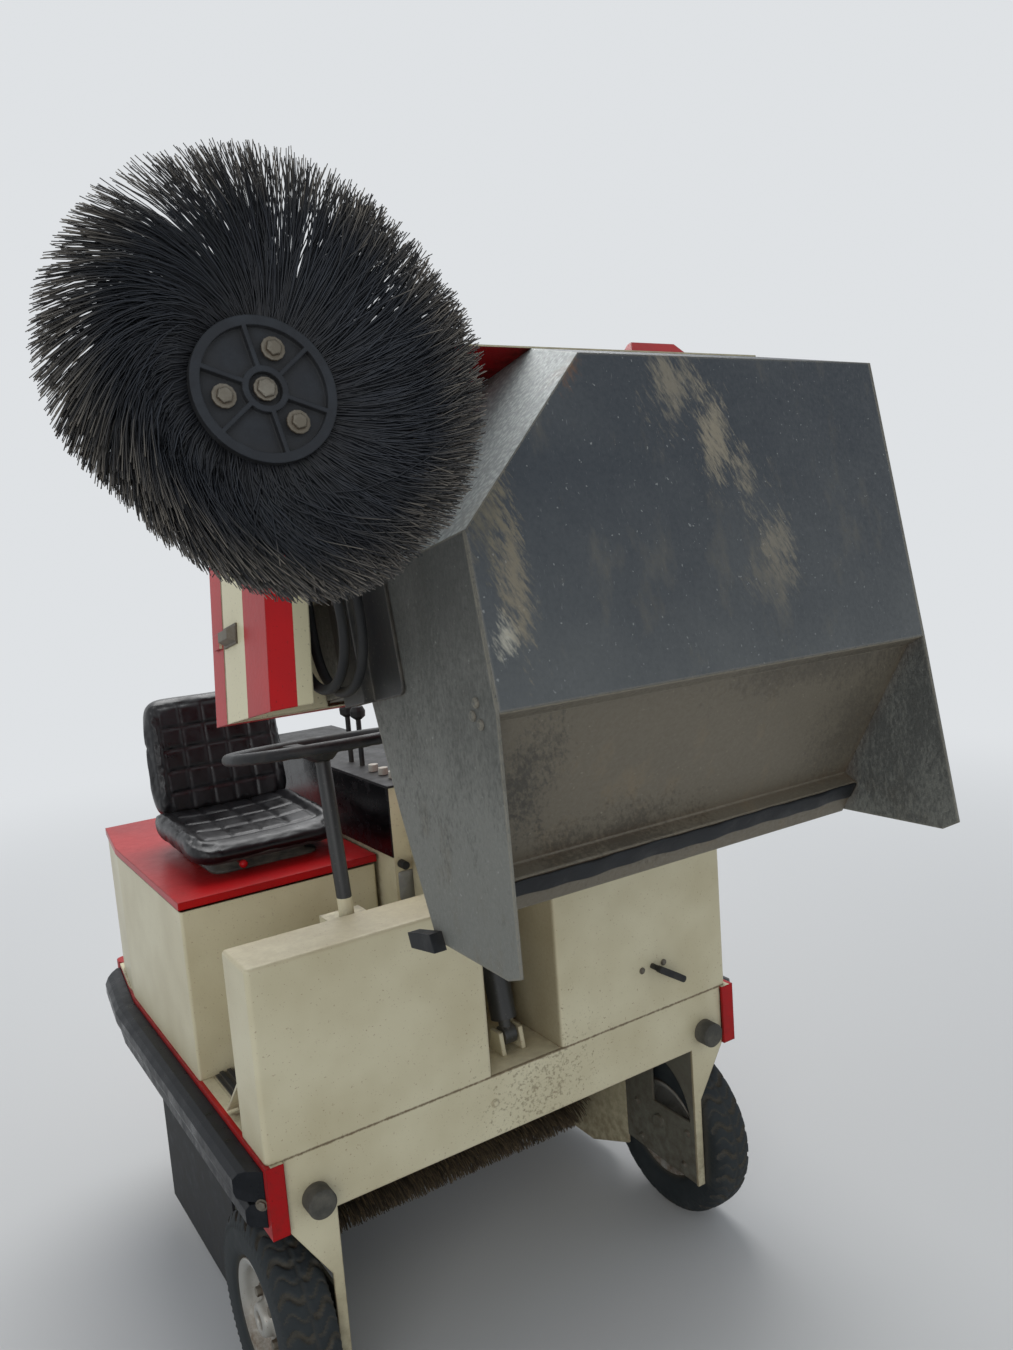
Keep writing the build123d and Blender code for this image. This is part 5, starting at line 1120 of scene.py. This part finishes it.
# Fasteners: screws with washers where sheets are bolted on, a painted plug in a spare hole,
# and a blank plate, a strip of anodised aluminium riveted to the console's front.
for name, places, out, size, material, slot in (
    ("tank_box_screws", row(np.array([305, 366]), -0.2, np.array([702, 704])), (0, -1, 0), 5,
     zinc_plate, "zinc_steel"),
    ("beam_plug", row(np.array([-87]), -0.2, np.array([543])), (0, -1, 0), 6, cream_paint,
     "cream_paint"),
    ("side_plate_screws", np.array([(-0.268, -0.876, 1.455), (-0.268, -0.866, 1.437),
                                    (-0.268, -0.884, 1.428)]), (-1, 0, 0), 5, plate_steel,
     "hopper_steel"),
    ("bumper_bolt", np.array([(-0.426, -0.277, 0.526)]), (-0.64, -0.77, 0), 8, zinc_plate,
     "zinc_steel"),
):
    fit(bolt_heads(name, places, out, size, size * 0.7), material, slot,
        "hopper" if name.startswith("side_plate") else "chassis")
plate_x, plate_z = superellipse(full_turn(48)[None], 12)
plate_levels = np.array([(0.01, 0.3), (1, 0.3), (1, -0.9), (0.96, -1.3), (0.01, -1.3)])
blank_plate = capped_grid("blank_console_plate", row(
    -89 + 20 * plate_levels[:, :1] * plate_x, 300 + plate_levels[:, 1:],
    921 + 32 * plate_levels[:, :1] * plate_z))
brushed_plate = moulded_plastic("anodised_aluminium_plate", "#8f9090", "#a9a9a6", 0.35, 1.5,
                                "#5a5347", 0.5, metallic=0.7)
fit(blank_plate, brushed_plate, "zinc_steel", "chassis")
PLATE_FACE = 434.8
bolt_y, bolt_z = np.array([(207, 262), (195, 175), (30, 258), (46, 172)]).T
for side, name in ((-1, "axle_bolts_right"), (1, "axle_bolts_left")):
    fit(bolt_heads(name, row(side * PLATE_FACE, bolt_y, bolt_z), (-side, 0, 0), 7, 5),
        plate_paint, "zinc_steel", "chassis")


# Engine bay: louvres pressed into the case's outer side and its rear let the warm air out,
# and two rubber catches hold the hood down.
def louvres(name, places, along, up, out):
    """Pressed louvres, all alike: a humped section, steep at its lower edge, carried 60 mm to
    each side of its place and drawn in to a point at both ends by a square root."""
    t = np.linspace(-1, 1, 25)[:, None, None]
    section = np.array([(-10, -1), (-10, 0.8), (-9, 3.8), (-5.5, 5.4), (-1, 4.6), (4, 2.6),
                        (8, 0.9), (10, 0), (10, -1)])
    size = np.maximum(np.sqrt(np.clip((1 - np.abs(t)) / 0.14, 0, 1)), 0.01)
    one = (60 * t * np.array(along) + size * section[None, :, :1] * np.array(up)
           + (size * (section[None, :, 1:] + 1) - 1) * np.array(out)) / 1000
    piece = new_piece(name, places[:, None, None] + one[None],
                      bands(len(t), len(section), len(places)).tolist())
    face_outwards(piece)
    fit(piece, cream_paint, "cream_paint", "chassis")


CASE_SIDE, CASE_REAR = 547, 1120
level = 660 + 26 * np.arange(7)
column, height = [part.ravel() for part in np.meshgrid((470, 650, 830), level)]
louvres("case_side_louvres", row(CASE_SIDE, column, height), (0, 1, 0), (0, 0, 1), (1, 0, 0))
column, height = [part.ravel() for part in np.meshgrid((245, 430), level)]
louvres("case_rear_louvres", row(column, CASE_REAR, height), (1, 0, 0), (0, 0, 1), (0, 1, 0))
# pulls: moulded grips screwed to the hood's outer side, 110 mm long
pull_levels = np.array([(0.01, -0.5), (1, -0.5), (1, 3), (0.8, 4), (0.62, 13), (0.5, 16),
                        (0.01, 16)])
pull_y, pull_z = superellipse(full_turn(40)[None], 5)
for number, centre in enumerate((470, 830)):
    pull = capped_grid("hood_pull_%d" % number, row(
        CASE_SIDE + pull_levels[:, 1:], centre + 55 * pull_levels[:, :1] * pull_y,
        925 + 14 * pull_levels[:, :1] * pull_z))
    fit(pull, wheel_plastic, "black_plastic", "engine_hood")
